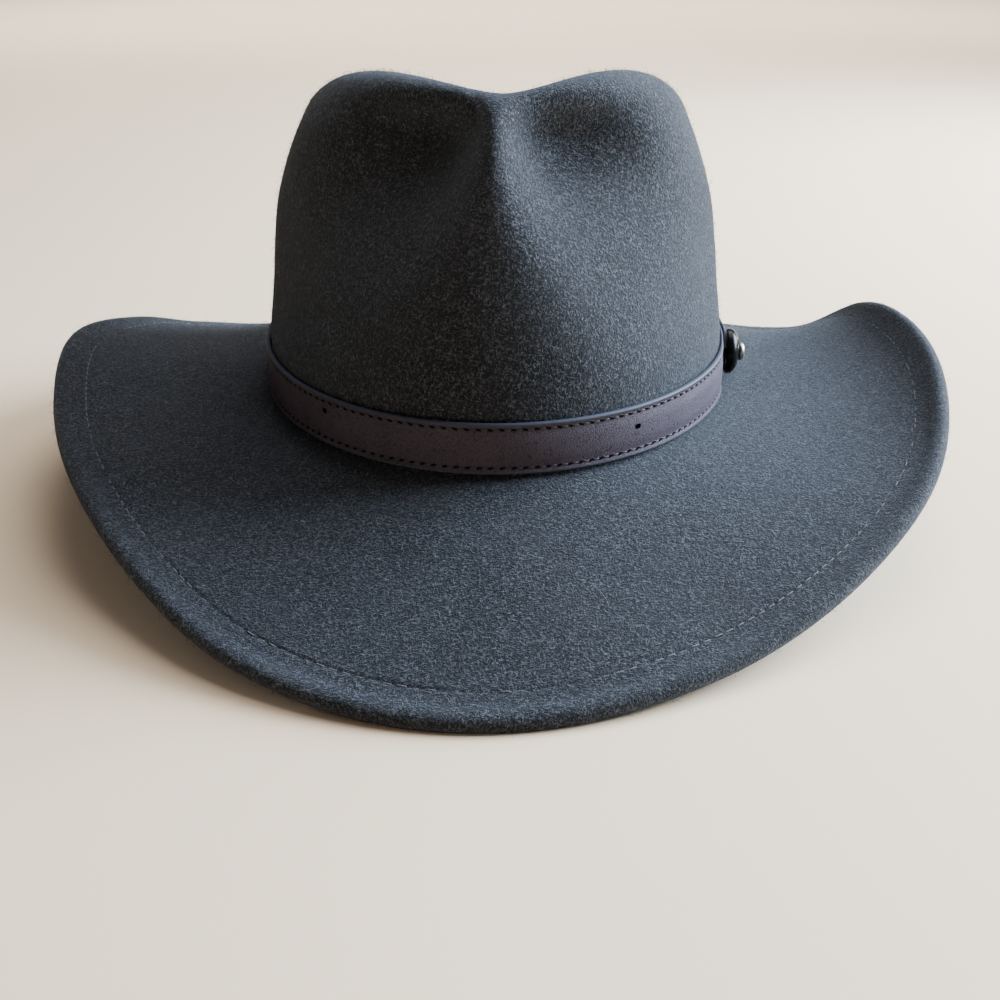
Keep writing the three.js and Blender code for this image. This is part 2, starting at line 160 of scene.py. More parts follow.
@dataclass(frozen=True)
class CrownForm:
    """Outside of the crown: a tapering oval with a long crease on top and two pinched hollows."""

    foot_side: float = 84.0
    foot_end: float = 103.0
    top: float = 118.4
    back_drop: float = 21.0
    drop_range: Pair = (-75.0, 115.0)
    lean_low: float = -1.6
    lean_high: float = 2.6
    crease_depth: float = 28.5
    crease_middle: float = 1.6
    crease_front_width: float = 14.0
    crease_back_width: float = 21.0
    crease_left_flank: float = 1.2
    crease_right_flank: float = 1.08
    crease_sharpness: float = 1.6
    crease_front: Pair = (-76.0, -14.0)
    crease_back: Pair = (35.0, 84.0)
    pinch_depth: float = 20.0
    ridge_middle: float = -0.5
    ridge_width: float = 11.0
    ridge_widening: float = 0.2
    pinch_reach: float = 46.0
    pinch_widening: float = 1.1
    pinch_height: float = 96.0
    pinch_spread_up: float = 9.0
    pinch_spread_down: float = 16.0
    pinch_slant: float = 0.6
    pinch_foot: Pair = (18.0, 40.0)
    fold_depth: float = 1.3
    fold_middle: float = -6.2
    fold_width: float = 1.7
    fold_height: float = 101.0
    fold_length: float = 6.5
    push_inward: float = 0.15
    push_back: float = 0.93
    push_down: float = 0.2
    wall_levels: int = 600
    wall_top: float = 0.5
    rows: tuple[CrownRow, ...] = (
        CrownRow(1.2, 84.0, 103.0, 103.0),
        CrownRow(20.0, 83.4, 102.0, 102.5),
        CrownRow(36.0, 81.9, 99.0, 101.5),
        CrownRow(52.0, 80.0, 94.5, 99.5),
        CrownRow(67.0, 77.4, 89.0, 96.0),
        CrownRow(82.0, 72.6, 82.5, 91.0),
        CrownRow(95.0, 67.2, 75.5, 84.0),
        CrownRow(104.0, 62.5, 68.0, 76.0),
        CrownRow(110.5, 55.0, 58.5, 66.0),
        CrownRow(114.5, 45.0, 46.5, 53.0),
        CrownRow(117.0, 32.0, 31.5, 36.0),
        CrownRow(118.0, 16.0, 16.0, 18.0),
        CrownRow(118.4, 0.0, 0.0, 0.0),
    )

    def outward(self, azimuth: Amount) -> Array:
        """Unit vectors that point straight out of the foot's oval, in plan."""
        turn = np.radians(azimuth)
        x, y = np.cos(turn) / self.foot_side, np.sin(turn) / self.foot_end
        return unit(np.stack([x, y, 0 * turn], -1))

    def row(self, level: Array) -> Array:
        """Height, side, front and back at a level, by a cubic through the table's rows.

        Args:
            level: From 0 at the foot to 1 at the top.

        Returns:
            The four sizes on the first axis.
        """
        table = np.array(self.rows)
        last = len(table) - 1
        place = np.clip(level, 0.0, 1.0) * last
        index = np.minimum(np.floor(place).astype(int), last - 1)
        around = np.clip(index[..., None] + np.arange(-1, 3), 0, last)
        share = place - index
        return np.stack([cubic(table[around, k], around.astype(float), share) for k in range(4)])

    def crease(self, x: Array, y: Array) -> Array:
        """Depth of the top crease: a bell across it, faded in at the front and out at the back.

        Args:
            x: Place across the crown.
            y: Place along the crown.

        Returns:
            How far the top is pushed down.
        """
        off = x - self.crease_middle
        flank = np.where(off < 0, self.crease_left_flank, self.crease_right_flank)
        widening = self.crease_back_width - self.crease_front_width
        width = self.crease_front_width + widening * smoothstep(y, self.crease_front[0], 0.0)
        along = smoothstep(y, *self.crease_front) * (1 - smoothstep(y, *self.crease_back))
        across = np.exp(-(np.abs(off / (width * flank)) ** self.crease_sharpness))
        return self.crease_depth * across * along

    def pinch(self, x: Array, height: Array) -> Array:
        """Depth of the two front hollows.

        Nothing on the ridge between them, full a little way off it, and faded out towards the
        sides. They end quickly above their deepest height, and widen and fade slowly below it,
        more slowly the further they are from the ridge.

        Args:
            x: Place across the crown.
            height: Height on the crown before it is dented.

        Returns:
            How far the front is pushed in.
        """
        off = np.abs(x - self.ridge_middle)
        above = height - self.pinch_height
        below = np.maximum(-above, 0.0)
        ridge = self.ridge_width + self.ridge_widening * below
        reach = self.pinch_reach + self.pinch_widening * below
        across = (1 - bell(off, ridge)) * np.exp(-((off / reach) ** 4))
        low_spread = self.pinch_spread_down + self.pinch_slant * off
        spread = np.where(above > 0, self.pinch_spread_up, low_spread)
        foot = smoothstep(height, *self.pinch_foot)
        return self.pinch_depth * across * bell(above, spread) * foot

    def fold(self, x: Array, height: Array) -> Array:
        """Depth of the short sharp fold beside the ridge: a narrow bell across, a longer one up."""
        across = ((x - self.fold_middle) / self.fold_width) ** 2
        up = ((height - self.fold_height) / self.fold_length) ** 2
        return self.fold_depth * np.exp(-across - up)

    def point(self, azimuth: Amount, level: Amount) -> Array:
        """Points of the outside: the oval section, dropped to the back, creased and pinched.

        Args:
            azimuth: Degrees in plan.
            level: From 0 at the foot to 1 at the top.

        Returns:
            Points on the last axis.
        """
        azimuth, level = together(azimuth, level)
        height, side, front, back = self.row(level)
        sine = np.sin(np.radians(azimuth))
        x = side * np.cos(np.radians(azimuth))
        y = np.where(sine < 0, front, back) * sine
        share = height / self.top
        rise = share**3
        lean = self.lean_low * share + self.lean_high * share**4
        drop = self.back_drop * rise * smoothstep(y, *self.drop_range)
        out = np.stack([x + lean, y, height - drop - self.crease(x, y) * rise], -1)
        push = self.pinch(x, height) + self.fold(x, height)
        push = push * smoothstep(-y, 0.0, self.foot_side / 2)
        inward = -np.sign(x - self.ridge_middle) * self.push_inward
        way = np.stack([inward, self.push_back + 0 * x, 0 * x - self.push_down], -1)
        return out + push[..., None] * way

    def down(self, azimuth: Array, place: Array) -> Array:
        """Points of the outside with the place growing downwards from the top."""
        return self.point(azimuth, 1.0 - np.asarray(place, float))

    def wall(self, azimuth: Amount, height: Amount, out: Amount) -> Array:
        """Points beside the wall, found by its height and carried straight out.

        Args:
            azimuth: Degrees in plan.
            height: Height on the wall before it is dented.
            out: Distance out from the felt.

        Returns:
            Points on the last axis.
        """
        levels = np.linspace(0.0, self.wall_top, self.wall_levels)
        level = np.interp(height, self.row(levels)[0], levels)
        return self.point(azimuth, level) + self.outward(azimuth) * np.asarray(out)[..., None]


class BrimRow(NamedTuple):
    """One section of the brim, from the break to the edge."""

    azimuth: float
    reach: float
    height: float
    break_slope: float
    edge_slope: float


@dataclass(frozen=True)
class BrimForm:
    """Upper face of the brim: rolled up at the sides and low at the front and back."""

    crown: CrownForm
    fillet: float = 1.2
    rows: tuple[BrimRow, ...] = (
        BrimRow(5, 78, 15, -4, 50),
        BrimRow(18, 80, 9.5, -5, 38),
        BrimRow(33, 82, -15.5, -12, -2),
        BrimRow(52, 82, -28, -20, -16),
        BrimRow(90, 82, -33, -22, -18),
        BrimRow(128, 82, -28, -20, -16),
        BrimRow(147, 81, -13, -12, -3),
        BrimRow(162, 79, 2.5, -5, 10),
        BrimRow(179, 79.5, 12, 0, 21),
        BrimRow(197, 75.5, 6, -3, 15),
        BrimRow(214, 74, -2.5, -7, 5),
        BrimRow(230, 74, -16.5, -13, -8),
        BrimRow(248, 78.5, -28, -19, -16),
        BrimRow(268, 81, -32.5, -21, -19),
        BrimRow(290, 76, -28.5, -20, -17),
        BrimRow(308, 75.5, -18, -14, -9),
        BrimRow(326, 78, -3, -8, 14),
        BrimRow(345, 77, 10, -5, 40),
    )

    def row(self, azimuth: Array) -> Array:
        """Reach, height, break slope and edge slope at an azimuth, the table going round.

        Args:
            azimuth: Degrees in plan.

        Returns:
            The four sizes on the first axis.
        """
        table = np.array(self.rows, float)
        turn = np.mod(np.asarray(azimuth, float), 360.0)
        after = np.searchsorted(table[:, 0], turn, side="right")
        around = after[..., None] + np.arange(-2, 2)
        wrapped = np.mod(around, len(table))
        places = table[wrapped, 0] + 360.0 * np.floor_divide(around, len(table))
        share = (turn - places[..., 1]) / (places[..., 2] - places[..., 1])
        return np.stack([cubic(table[wrapped, k], places, share) for k in range(1, 5)])

    def fillet_point(self, azimuth: Array, turn: Array) -> Array:
        """Points of the quarter round between the wall and the brim.

        Args:
            azimuth: Degrees in plan.
            turn: From 0 at the wall to 1 at the brim.

        Returns:
            Points on the last axis.
        """
        azimuth, turn = together(azimuth, turn)
        angle = np.radians(90.0 * turn)
        out = self.crown.point(azimuth, 0.0 * turn)
        out = out + self.crown.outward(azimuth) * (self.fillet * (1 - np.cos(angle)))[..., None]
        out[..., 2] = self.fillet * (1 - np.sin(angle))
        return out

    def point(self, azimuth: Array, across: Array) -> Array:
        """Points of the upper face: a Hermite curve out from the fillet with both end slopes.

        Args:
            azimuth: Degrees in plan.
            across: From 0 at the fillet to 1 at the edge.

        Returns:
            Points on the last axis.
        """
        azimuth, across = together(azimuth, across)
        reach, height, break_slope, edge_slope = self.row(azimuth)
        run = reach - self.fillet
        length = np.hypot(run, height)
        first, second = np.radians(break_slope), np.radians(edge_slope)
        t2, t3 = across**2, across**3
        start, finish, blend = t3 - 2 * t2 + across, t3 - t2, 3 * t2 - 2 * t3
        out = run * blend + length * (start * np.cos(first) + finish * np.cos(second))
        up = height * blend + length * (start * np.sin(first) + finish * np.sin(second))
        result = self.fillet_point(azimuth, 1.0 + 0.0 * across)
        result = result + self.crown.outward(azimuth) * out[..., None]
        result[..., 2] += up
        return result


def grid_faces(rows: int, columns: int) -> Array:
    """Quads of rings of points in row order, where the last column meets the first.

    Each quad joins a point, the one below, and their neighbours in the next column.

    Args:
        rows: Number of rings.
        columns: Number of points in a ring.

    Returns:
        Corner indices, four to a quad.
    """
    row, column = np.meshgrid(np.arange(rows - 1), np.arange(columns), indexing="ij")
    here = (row * columns + column).ravel()
    beside = (row * columns + (column + 1) % columns).ravel()
    return np.stack([here, here + columns, beside + columns, beside], -1)


def fan(tip: int, first: int, count: int) -> Array:
    """Triangles between a tip and the closed ring of points that starts at the first index.

    Args:
        tip: Index of the tip.
        first: Index of the ring's first point.
        count: Number of points in the ring.

    Returns:
        Corner indices, three to a triangle.
    """
    here = np.arange(count)
    return np.stack([np.full(count, tip), first + here, first + (here + 1) % count], -1)


def tube_faces(rows: int, columns: int) -> tuple[Array, Array]:
    """Faces of a closed tube: rings of points in row order, and then its two tips.

    Args:
        rows: Number of rings.
        columns: Number of points in a ring.

    Returns:
        Quads between the rings, and triangles of the fan at each end.
    """
    total = rows * columns
    last = fan(total + 1, total - columns, columns)[:, ::-1]
    return grid_faces(rows, columns), np.concatenate([fan(total, 0, columns), last])


def make_mesh(name: str, points: Array, quads: Array, triangles: Array) -> Mesh:
    """Smooth-shaded mesh from arrays.

    Args:
        name: Name of the mesh.
        points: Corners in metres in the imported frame.
        quads: Corner indices, four to a face.
        triangles: Corner indices, three to a face.

    Returns:
        The new mesh.
    """
    mesh = bpy.data.meshes.new(name)
    quads, triangles = quads.reshape(-1, 4), triangles.reshape(-1, 3)
    loops = np.concatenate([quads.ravel(), triangles.ravel()]).astype(np.int32)
    starts = np.append(4 * np.arange(len(quads)), 4 * len(quads) + 3 * np.arange(len(triangles)))
    mesh.vertices.add(len(points))
    mesh.vertices.foreach_set("co", np.asarray(points, np.float32).ravel())
    mesh.loops.add(len(loops))
    mesh.loops.foreach_set("vertex_index", loops)
    mesh.polygons.add(len(starts))
    mesh.polygons.foreach_set("loop_start", starts.astype(np.int32))
    mesh.update(calc_edges=True)
    mesh.shade_smooth()
    return mesh


def set_uv(mesh: Mesh, name: str, coordinates: Array) -> None:
    """Gives a mesh a UV map from one pair of numbers per vertex.

    Args:
        mesh: The mesh.
        name: Name of the map.
        coordinates: A pair for each vertex.
    """
    layer = mesh.uv_layers.new(name=name)
    vertex = np.empty(len(mesh.loops), np.int32)
    mesh.loops.foreach_get("vertex_index", vertex)
    layer.data.foreach_set("uv", coordinates[vertex].astype(np.float32).ravel())


def rod_mesh(name: str, paths: Array, radius: Amount, sides: int) -> Mesh:
    """Mesh of many closed rods at once.

    The first and the last point of a path are the tips of its rod. At each point between them a
    ring of points stands square to the path.

    Args:
        name: Name of the mesh.
        paths: Points of each rod, as rods by points by three.
        radius: Radius at each ring, or one for all.
        sides: Sides of a rod.

    Returns:
        The mesh.
    """
    tangent = unit(np.gradient(paths, axis=1))[:, 1:-1]
    upright = np.abs(tangent[..., 2:3]) > NEARLY_UPRIGHT
    guide = np.where(upright, np.array([1.0, 0.0, 0.0]), UP)
    first = unit(np.cross(tangent, guide))
    second = np.cross(tangent, first)
    turn = full_turn(sides)[:, None]
    ring = first[..., None, :] * np.cos(turn) + second[..., None, :] * np.sin(turn)
    body = paths[:, 1:-1, None, :] + ring * np.asarray(radius)[..., None, None]
    points = np.concatenate([body.reshape(len(paths), -1, 3), paths[:, [0, -1]]], 1)
    quads, triangles = tube_faces(body.shape[1], sides)
    offset = (np.arange(len(paths)) * points.shape[1])[:, None, None]
    faces = quads[:, ::-1] + offset, triangles[:, ::-1] + offset
    return make_mesh(name, to_row(points.reshape(-1, 3)), *faces)


def place_object(name: str, data: ID) -> Object:
    """Puts a new object into the scene.

    Args:
        name: Name of the object.
        data: Its mesh, light or camera.

    Returns:
        The object.
    """
    item = bpy.data.objects.new(name, data)
    bpy.context.scene.collection.objects.link(item)
    return item


def add_piece(
    name: str, mesh: Mesh, materials: list[Material], slot: str, *replaced: str
) -> Object:
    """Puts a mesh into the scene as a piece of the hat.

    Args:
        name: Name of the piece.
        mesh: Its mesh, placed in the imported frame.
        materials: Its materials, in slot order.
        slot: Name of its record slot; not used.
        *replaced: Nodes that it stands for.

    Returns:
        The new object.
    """
    piece = place_object(name, mesh)
    for material in materials:
        mesh.materials.append(material)
    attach(piece, "root")
    if replaced:
        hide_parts(*replaced)
    return piece


class Graph:
    """Adds nodes to a shader tree and sets or joins their sockets."""

    def __init__(self, tree: NodeTree) -> None:
        """Keeps the tree and empties it."""
        self.tree = tree
        tree.nodes.clear()

    def feed(self, node: Node, inputs: dict) -> None:
        """Joins sockets to a node's inputs, and sets those that get a plain value.

        Args:
            node: The node.
            inputs: Values or output sockets by input name or number.
        """
        for key, value in inputs.items():
            if isinstance(value, NodeSocket):
                self.tree.links.new(value, node.inputs[key])
            else:
                node.inputs[key].default_value = value

    def add(self, kind: str, inputs: dict | None = None, **settings: object) -> Node:
        """Adds one node.

        Args:
            kind: Blender's name of the node type.
            inputs: Values or output sockets by input name or number.
            **settings: Properties of the node.

        Returns:
            The new node.
        """
        node = self.tree.nodes.new(kind)
        for key, value in settings.items():
            setattr(node, key, value)
        self.feed(node, inputs or {})
        return node

    def place(self) -> NodeSocket:
        """The piece's own coordinates."""
        return self.add("ShaderNodeTexCoord").outputs["Object"]

    def math(self, operation: str, *values: object) -> NodeSocket:
        """Result of a Math node with these inputs."""
        return self.add("ShaderNodeMath", dict(enumerate(values)), operation=operation).outputs[0]

    def times(self, value: object, factor: object) -> NodeSocket:
        """Value times a factor."""
        return self.math("MULTIPLY", value, factor)

    def blend(self, first: object, weight: float, second: object, other: float) -> NodeSocket:
        """First value times its weight, and second value times its own, added."""
        return self.math("ADD", self.times(first, weight), self.times(second, other))

    def ramp(
        self, value: object, low: float, high: float, first: float = 0.0, last: float = 1.0
    ) -> NodeSocket:
        """Value carried smoothly from the range low to high onto the range first to last.

        Args:
            value: Socket to carry.
            low: Value that gives first.
            high: Value that gives last.
            first: Result at low.
            last: Result at high.

        Returns:
            The carried value.
        """
        keys = {"Value": value, "From Min": low, "From Max": high, "To Min": first, "To Max": last}
        node = self.add("ShaderNodeMapRange", keys, interpolation_type="SMOOTHSTEP")
        return node.outputs["Result"]

    def mix(self, share: object, first: object, second: object) -> NodeSocket:
        """Colour between two colours, by the share of the second."""
        inputs = {0: share, 6: first, 7: second}
        return self.add("ShaderNodeMix", inputs, data_type="RGBA").outputs[2]

    def noise(
        self, at: NodeSocket, scale: object, detail: float = 2.0, warp: object = 0.0
    ) -> NodeSocket:
        """Cloudy noise from 0 to 1, with about this many spots to a metre."""
        inputs = {"Vector": at, "Scale": scale, "Detail": detail, "Distortion": warp}
        return self.add("ShaderNodeTexNoise", inputs).outputs["Fac"]

    def bump(self, height: object, strength: float, distance: float) -> NodeSocket:
        """Normal that leans with a height, which at 1 stands this distance proud."""
        inputs = {"Height": height, "Strength": strength, "Distance": distance}
        return self.add("ShaderNodeBump", inputs).outputs["Normal"]

    def group(self, tree: NodeTree, **inputs: object) -> NodeSocket:
        """The one output of a node group that is placed with its own values."""
        return self.add("ShaderNodeGroup", inputs, node_tree=tree).outputs[0]


class SocketKind(Enum):
    """Kinds of socket on a node group."""

    VECTOR = "NodeSocketVector"
    FLOAT = "NodeSocketFloat"


def new_group(
    name: str, inputs: dict[str, SocketKind], output: str
) -> tuple[Graph, dict[str, NodeSocket], Node]:
    """Starts a shader node group with named inputs and one number as its output.

    Args:
        name: Name of the group.
        inputs: Kinds of the input sockets by name.
        output: Name of the output socket.

    Returns:
        The group's graph, its inputs by name, and its output node.
    """
    tree = bpy.data.node_groups.new(name, "ShaderNodeTree")
    for socket, kind in inputs.items():
        tree.interface.new_socket(socket, in_out="INPUT", socket_type=kind.value)
    tree.interface.new_socket(output, in_out="OUTPUT", socket_type=SocketKind.FLOAT.value)
    graph = Graph(tree)
    given = graph.add("NodeGroupInput").outputs
    return graph, {socket: given[socket] for socket in inputs}, graph.add("NodeGroupOutput")


def stroke_group() -> NodeTree:
    """Group of thin curly strokes, where a warped noise passes through its middle value.

    Returns:
        The group, with a mask of the strokes.
    """
    kinds = {"Vector": SocketKind.VECTOR}
    kinds |= {name: SocketKind.FLOAT for name in ("Density", "Width", "Warp")}
    graph, given, result = new_group("thin strokes", kinds, "Strokes")
    noise = graph.noise(given["Vector"], given["Density"], 1.0, given["Warp"])
    off = graph.math("ABSOLUTE", graph.math("SUBTRACT", noise, 0.5))
    near = graph.math("SUBTRACT", 1.0, graph.math("DIVIDE", off, given["Width"]))
    graph.feed(result, {"Strokes": graph.ramp(near, 0.0, 1.0)})
    return graph.tree


def mottle_group(finer: float = 4.3, share: float = 0.5) -> NodeTree:
    """Group of soft uneven patches: two sizes of cloud added together, less their mean.

    Args:
        finer: How many times as dense the finer cloud is.
        share: Its weight beside the larger cloud.

    Returns:
        The group, with a mask of the patches.
    """
    kinds = {"Vector": SocketKind.VECTOR, "Density": SocketKind.FLOAT, "Contrast": SocketKind.FLOAT}
    graph, given, result = new_group("soft mottle", kinds, "Patches")
    large = graph.noise(given["Vector"], given["Density"], 3.0)
    fine = graph.noise(given["Vector"], graph.times(given["Density"], finer))
    total = graph.math("ADD", large, graph.times(fine, share))
    off = graph.times(graph.math("SUBTRACT", total, 0.5 * (1 + share)), given["Contrast"])
    graph.feed(result, {"Patches": graph.math("ADD", off, 0.5)})
    return graph.tree


def fleck_group(faintest: float = 0.50, full: float = 0.72) -> NodeTree:
    """Group of short matted flecks: stretched noise in three directions, the strongest kept.

    Args:
        faintest: Noise at which a fleck begins.
        full: Noise at which it is full.

    Returns:
        The group, with a mask of the flecks.
    """
    kinds = {"Vector": SocketKind.VECTOR, "Density": SocketKind.FLOAT, "Warp": SocketKind.FLOAT}
    graph, given, result = new_group("matted flecks", kinds, "Flecks")
    found = []
    for turn, stretch in (
        ((0.5, 0.3, 0.4), (1.0, 0.45, 0.8)),
        ((1.4, 0.8, 2.2), (0.45, 1.0, 0.8)),
        ((2.3, 2.0, 3.7), (0.8, 1.0, 0.45)),
    ):
        inputs = {"Vector": given["Vector"], "Rotation": turn, "Scale": stretch}
        turned = graph.add("ShaderNodeMapping", inputs).outputs[0]
        noise = graph.noise(turned, given["Density"], 2.0, given["Warp"])
        found.append(graph.ramp(noise, faintest, full))
    most = graph.math("MAXIMUM", graph.math("MAXIMUM", found[0], found[1]), found[2])
    graph.feed(result, {"Flecks": most})
    return graph.tree


@dataclass(frozen=True)
class Groups:
    """The shader groups that the finishes share."""

    strokes: NodeTree
    mottle: NodeTree
    flecks: NodeTree


def new_material(name: str) -> tuple[Material, Graph, Node]:
    """Starts a material with a Principled shader.

    Args:
        name: Name of the material.

    Returns:
        The material, its graph and its shader node.
    """
    material = bpy.data.materials.new(name)
    material.use_nodes = True
    graph = Graph(material.node_tree)
    shader = graph.add("ShaderNodeBsdfPrincipled")
    graph.add("ShaderNodeOutputMaterial", {"Surface": shader.outputs["BSDF"]})
    return material, graph, shader


@dataclass(frozen=True)
class FeltFinish:
    """Napped wool felt: matted flecks, pale stray strokes and a soft sheen."""

    dark: Colour = (0.009, 0.0098, 0.012, 1.0)
    base: Colour = (0.038, 0.0405, 0.048, 1.0)
    pale: Colour = (0.156, 0.167, 0.194, 1.0)
    sheen: float = 0.13
    # Tinted the cool blue of the window light: a painted cool cast on the sheen.
    sheen_tint: Colour = (0.70, 0.84, 1.0, 1.0)
    sheen_roughness: float = 0.4
    coarse_density: float = 1500.0
    coarse_warp: float = 0.3
    coarse_share: float = 0.6
    fine_density: float = 3100.0
    fine_warp: float = 0.2
    curl_density: float = 420.0
    curl_width: float = 0.02
    curl_warp: float = 1.4
    curl_share: float = 0.16
    patch_density: float = 38.0
    patch_contrast: float = 1.4
    patch_range: tuple[float, ...] = (0.25, 0.75, 0.0, 0.22)
    clump_density: float = 230.0
    clump_contrast: float = 2.0
    clump_relief: float = 0.5
    clump_range: tuple[float, ...] = (0.25, 0.85, 0.25, 0.75)
    base_range: Pair = (0.05, 0.75)
    pale_range: Pair = (0.45, 1.0)
    most_pale: float = 0.9
    bump: float = 0.9
    relief: float = 0.00038
    roughness: Pair = (1.0, 0.85)
    gloss: float = 0.2

    def build(self, name: str, groups: Groups) -> Material:
        """Makes the material.

        Flecks of two sizes tell the dark ground from the base colour. The pale colour lies on
        the brightest flecks, most of all in clumps, and on the curly strokes.

        Args:
            name: Name of the material.
            groups: The shared shader groups.

        Returns:
            The material.
        """
        material, graph, shader = new_material(name)
        at, flecks, mottle = graph.place(), groups.flecks, groups.mottle
        look = {"Density": self.coarse_density, "Warp": self.coarse_warp}
        coarse = graph.group(flecks, Vector=at, **look)
        fine = graph.group(flecks, Vector=at, Density=self.fine_density, Warp=self.fine_warp)
        look = {"Density": self.curl_density, "Width": self.curl_width, "Warp": self.curl_warp}
        curls = graph.group(groups.strokes, Vector=at, **look)
        look = {"Density": self.patch_density, "Contrast": self.patch_contrast}
        patches = graph.group(mottle, Vector=at, **look)
        look = {"Density": self.clump_density, "Contrast": self.clump_contrast}
        clumps = graph.group(mottle, Vector=at, **look)
        matted = graph.blend(coarse, self.coarse_share, fine, 1 - self.coarse_share)
        shade = graph.mix(graph.ramp(matted, *self.base_range), self.dark, self.base)
        clumped = graph.ramp(clumps, *self.clump_range)
        bright = graph.times(graph.ramp(matted, *self.pale_range), clumped)
        bright = graph.math("ADD", bright, graph.times(curls, self.curl_share))
        shade = graph.mix(graph.math("MINIMUM", bright, self.most_pale), shade, self.pale)
        shade = graph.mix(graph.ramp(patches, *self.patch_range), shade, self.base)
        height = graph.blend(matted, 1.0, clumps, self.clump_relief)
        graph.feed(shader, {
            "Base Color": shade,
            "Normal": graph.bump(height, self.bump, self.relief),
            "Roughness": graph.ramp(matted, 0.0, 1.0, *self.roughness),
            "Specular IOR Level": self.gloss,
            "Sheen Weight": self.sheen,
            "Sheen Roughness": self.sheen_roughness,
            "Sheen Tint": self.sheen_tint,
        })
        return material


@dataclass(frozen=True)
class FibreFinish:
    """One loose wool fibre's colour, plain along its length."""

    colour: Colour
    density: float = 900.0
    cloud_range: Pair = (0.3, 0.7)
    roughness: Pair = (0.75, 1.0)
    sheen: float = 0.2

    def build(self, name: str) -> Material:
        """Makes the material: a plain soft colour with a little sheen.

        Args:
            name: Name of the material.

        Returns:
            The material.
        """
        material, graph, shader = new_material(name)
        cloud = graph.noise(graph.place(), self.density)
        rough = graph.ramp(cloud, *self.cloud_range, *self.roughness)
        graph.feed(shader, {
            "Base Color": self.colour, "Roughness": rough, "Sheen Weight": self.sheen
        })
        return material


@dataclass(frozen=True)
class LeatherFinish:
    """Semi-matt grained leather with needle holes along two rows, in the strap's own map."""

    dark: Colour = (0.018, 0.013, 0.017, 1.0)
    base: Colour = (0.060, 0.049, 0.063, 1.0)
    worn: Colour = (0.075, 0.062, 0.080, 1.0)
    # Painted shade: colour of the needle holes' insides.
    painted_hole_shade: Colour = (0.005, 0.004, 0.005, 1.0)
    grain_density: float = 1050.0
    pore_density: float = 2600.0
    patch_density: float = 60.0
    patch_contrast: float = 1.8
    pebble_edge: float = 0.12
    pebble_relief: float = 0.5
    pore_relief: float = 0.35
    between_shade: float = 0.7
    hole_stretch: float = 0.5
    hole_slant: float = 0.45
    hole_edge: Pair = (0.30, 0.60)
    hole_shade: float = 0.9
    hole_depth: float = 4.0
    # Painted shade along the seam furrows: where it reaches and how strong it is.
    furrow_edge: Pair = (0.1, 0.75)
    furrow_shade: float = 0.35
    bump: float = 0.8
    relief: float = 0.0002
    roughness: Pair = (0.60, 0.48)
    gloss: float = 0.10

    def build(self, name: str, strap: "HatBand", groups: Groups) -> Material:
        """Makes the material.

        The needle holes are slanted ovals: their distance is the root of the summed squares of
        the place between two stitches, stretched and slanted, and of the place off the seam.
        The holes are painted nearly black and lose their gloss: painted shade in the holes.

        Args:
            name: Name of the material.
            strap: The strap, for its seam rows and stitch pitch.
            groups: The shared shader groups.

        Returns:
            The material.
        """
        material, graph, shader = new_material(name)
        at = graph.place()
        uv = graph.add("ShaderNodeUVMap", uv_map="strap").outputs["UV"]
        flat = graph.add("ShaderNodeSeparateXYZ", {0: uv})
        along, up = (graph.times(flat.outputs[axis], 1 / MM) for axis in "XY")
        stitch = graph.math("SNAP", graph.math("ADD", along, strap.pitch / 2), strap.pitch)
        nearest = graph.math("SUBTRACT", along, stitch)
        off = graph.math("SUBTRACT", graph.math("ABSOLUTE", up), strap.height / 2 - strap.seam_in)
        slanted = graph.blend(nearest, self.hole_stretch, off, self.hole_slant)
        squares = [graph.math("POWER", value, 2.0) for value in (slanted, off)]
        apart = graph.math("SQRT", graph.math("ADD", *squares))
        holes = graph.ramp(apart, *self.hole_edge, 1.0, 0.0)
        furrow = graph.ramp(graph.math("ABSOLUTE", off), *self.furrow_edge, 1.0, 0.0)
        inputs = {"Vector": at, "Scale": self.grain_density, "Randomness": 1.0}
        cells = graph.add("ShaderNodeTexVoronoi", inputs, feature="DISTANCE_TO_EDGE")
        pebbles = graph.ramp(cells.outputs["Distance"], 0.0, self.pebble_edge)
        pores = graph.noise(at, self.pore_density)
        look = {"Density": self.patch_density, "Contrast": self.patch_contrast}
        patches = graph.group(groups.mottle, Vector=at, **look)
        between = graph.math("SUBTRACT", 1.0, pebbles)
        shade = graph.mix(patches, self.base, self.worn)
        shade = graph.mix(graph.times(between, self.between_shade), shade, self.dark)
        # Painted shade: the colour darkens along the seam furrows.
        shade = graph.mix(graph.times(furrow, self.furrow_shade), shade, self.dark)
        # Painted shade: the needle holes turn nearly black, and below they lose their gloss.
        shade = graph.mix(graph.times(holes, self.hole_shade), shade, self.painted_hole_shade)
        grain = graph.blend(pebbles, self.pebble_relief, pores, self.pore_relief)
        height = graph.math("SUBTRACT", grain, graph.times(holes, self.hole_depth))
        graph.feed(shader, {
            "Base Color": shade,
            "Normal": graph.bump(height, self.bump, self.relief),
            "Roughness": graph.ramp(patches, 0.0, 1.0, *self.roughness),
            "Specular IOR Level": graph.ramp(holes, 0.0, 1.0, self.gloss, 0.0),
        })
        return material


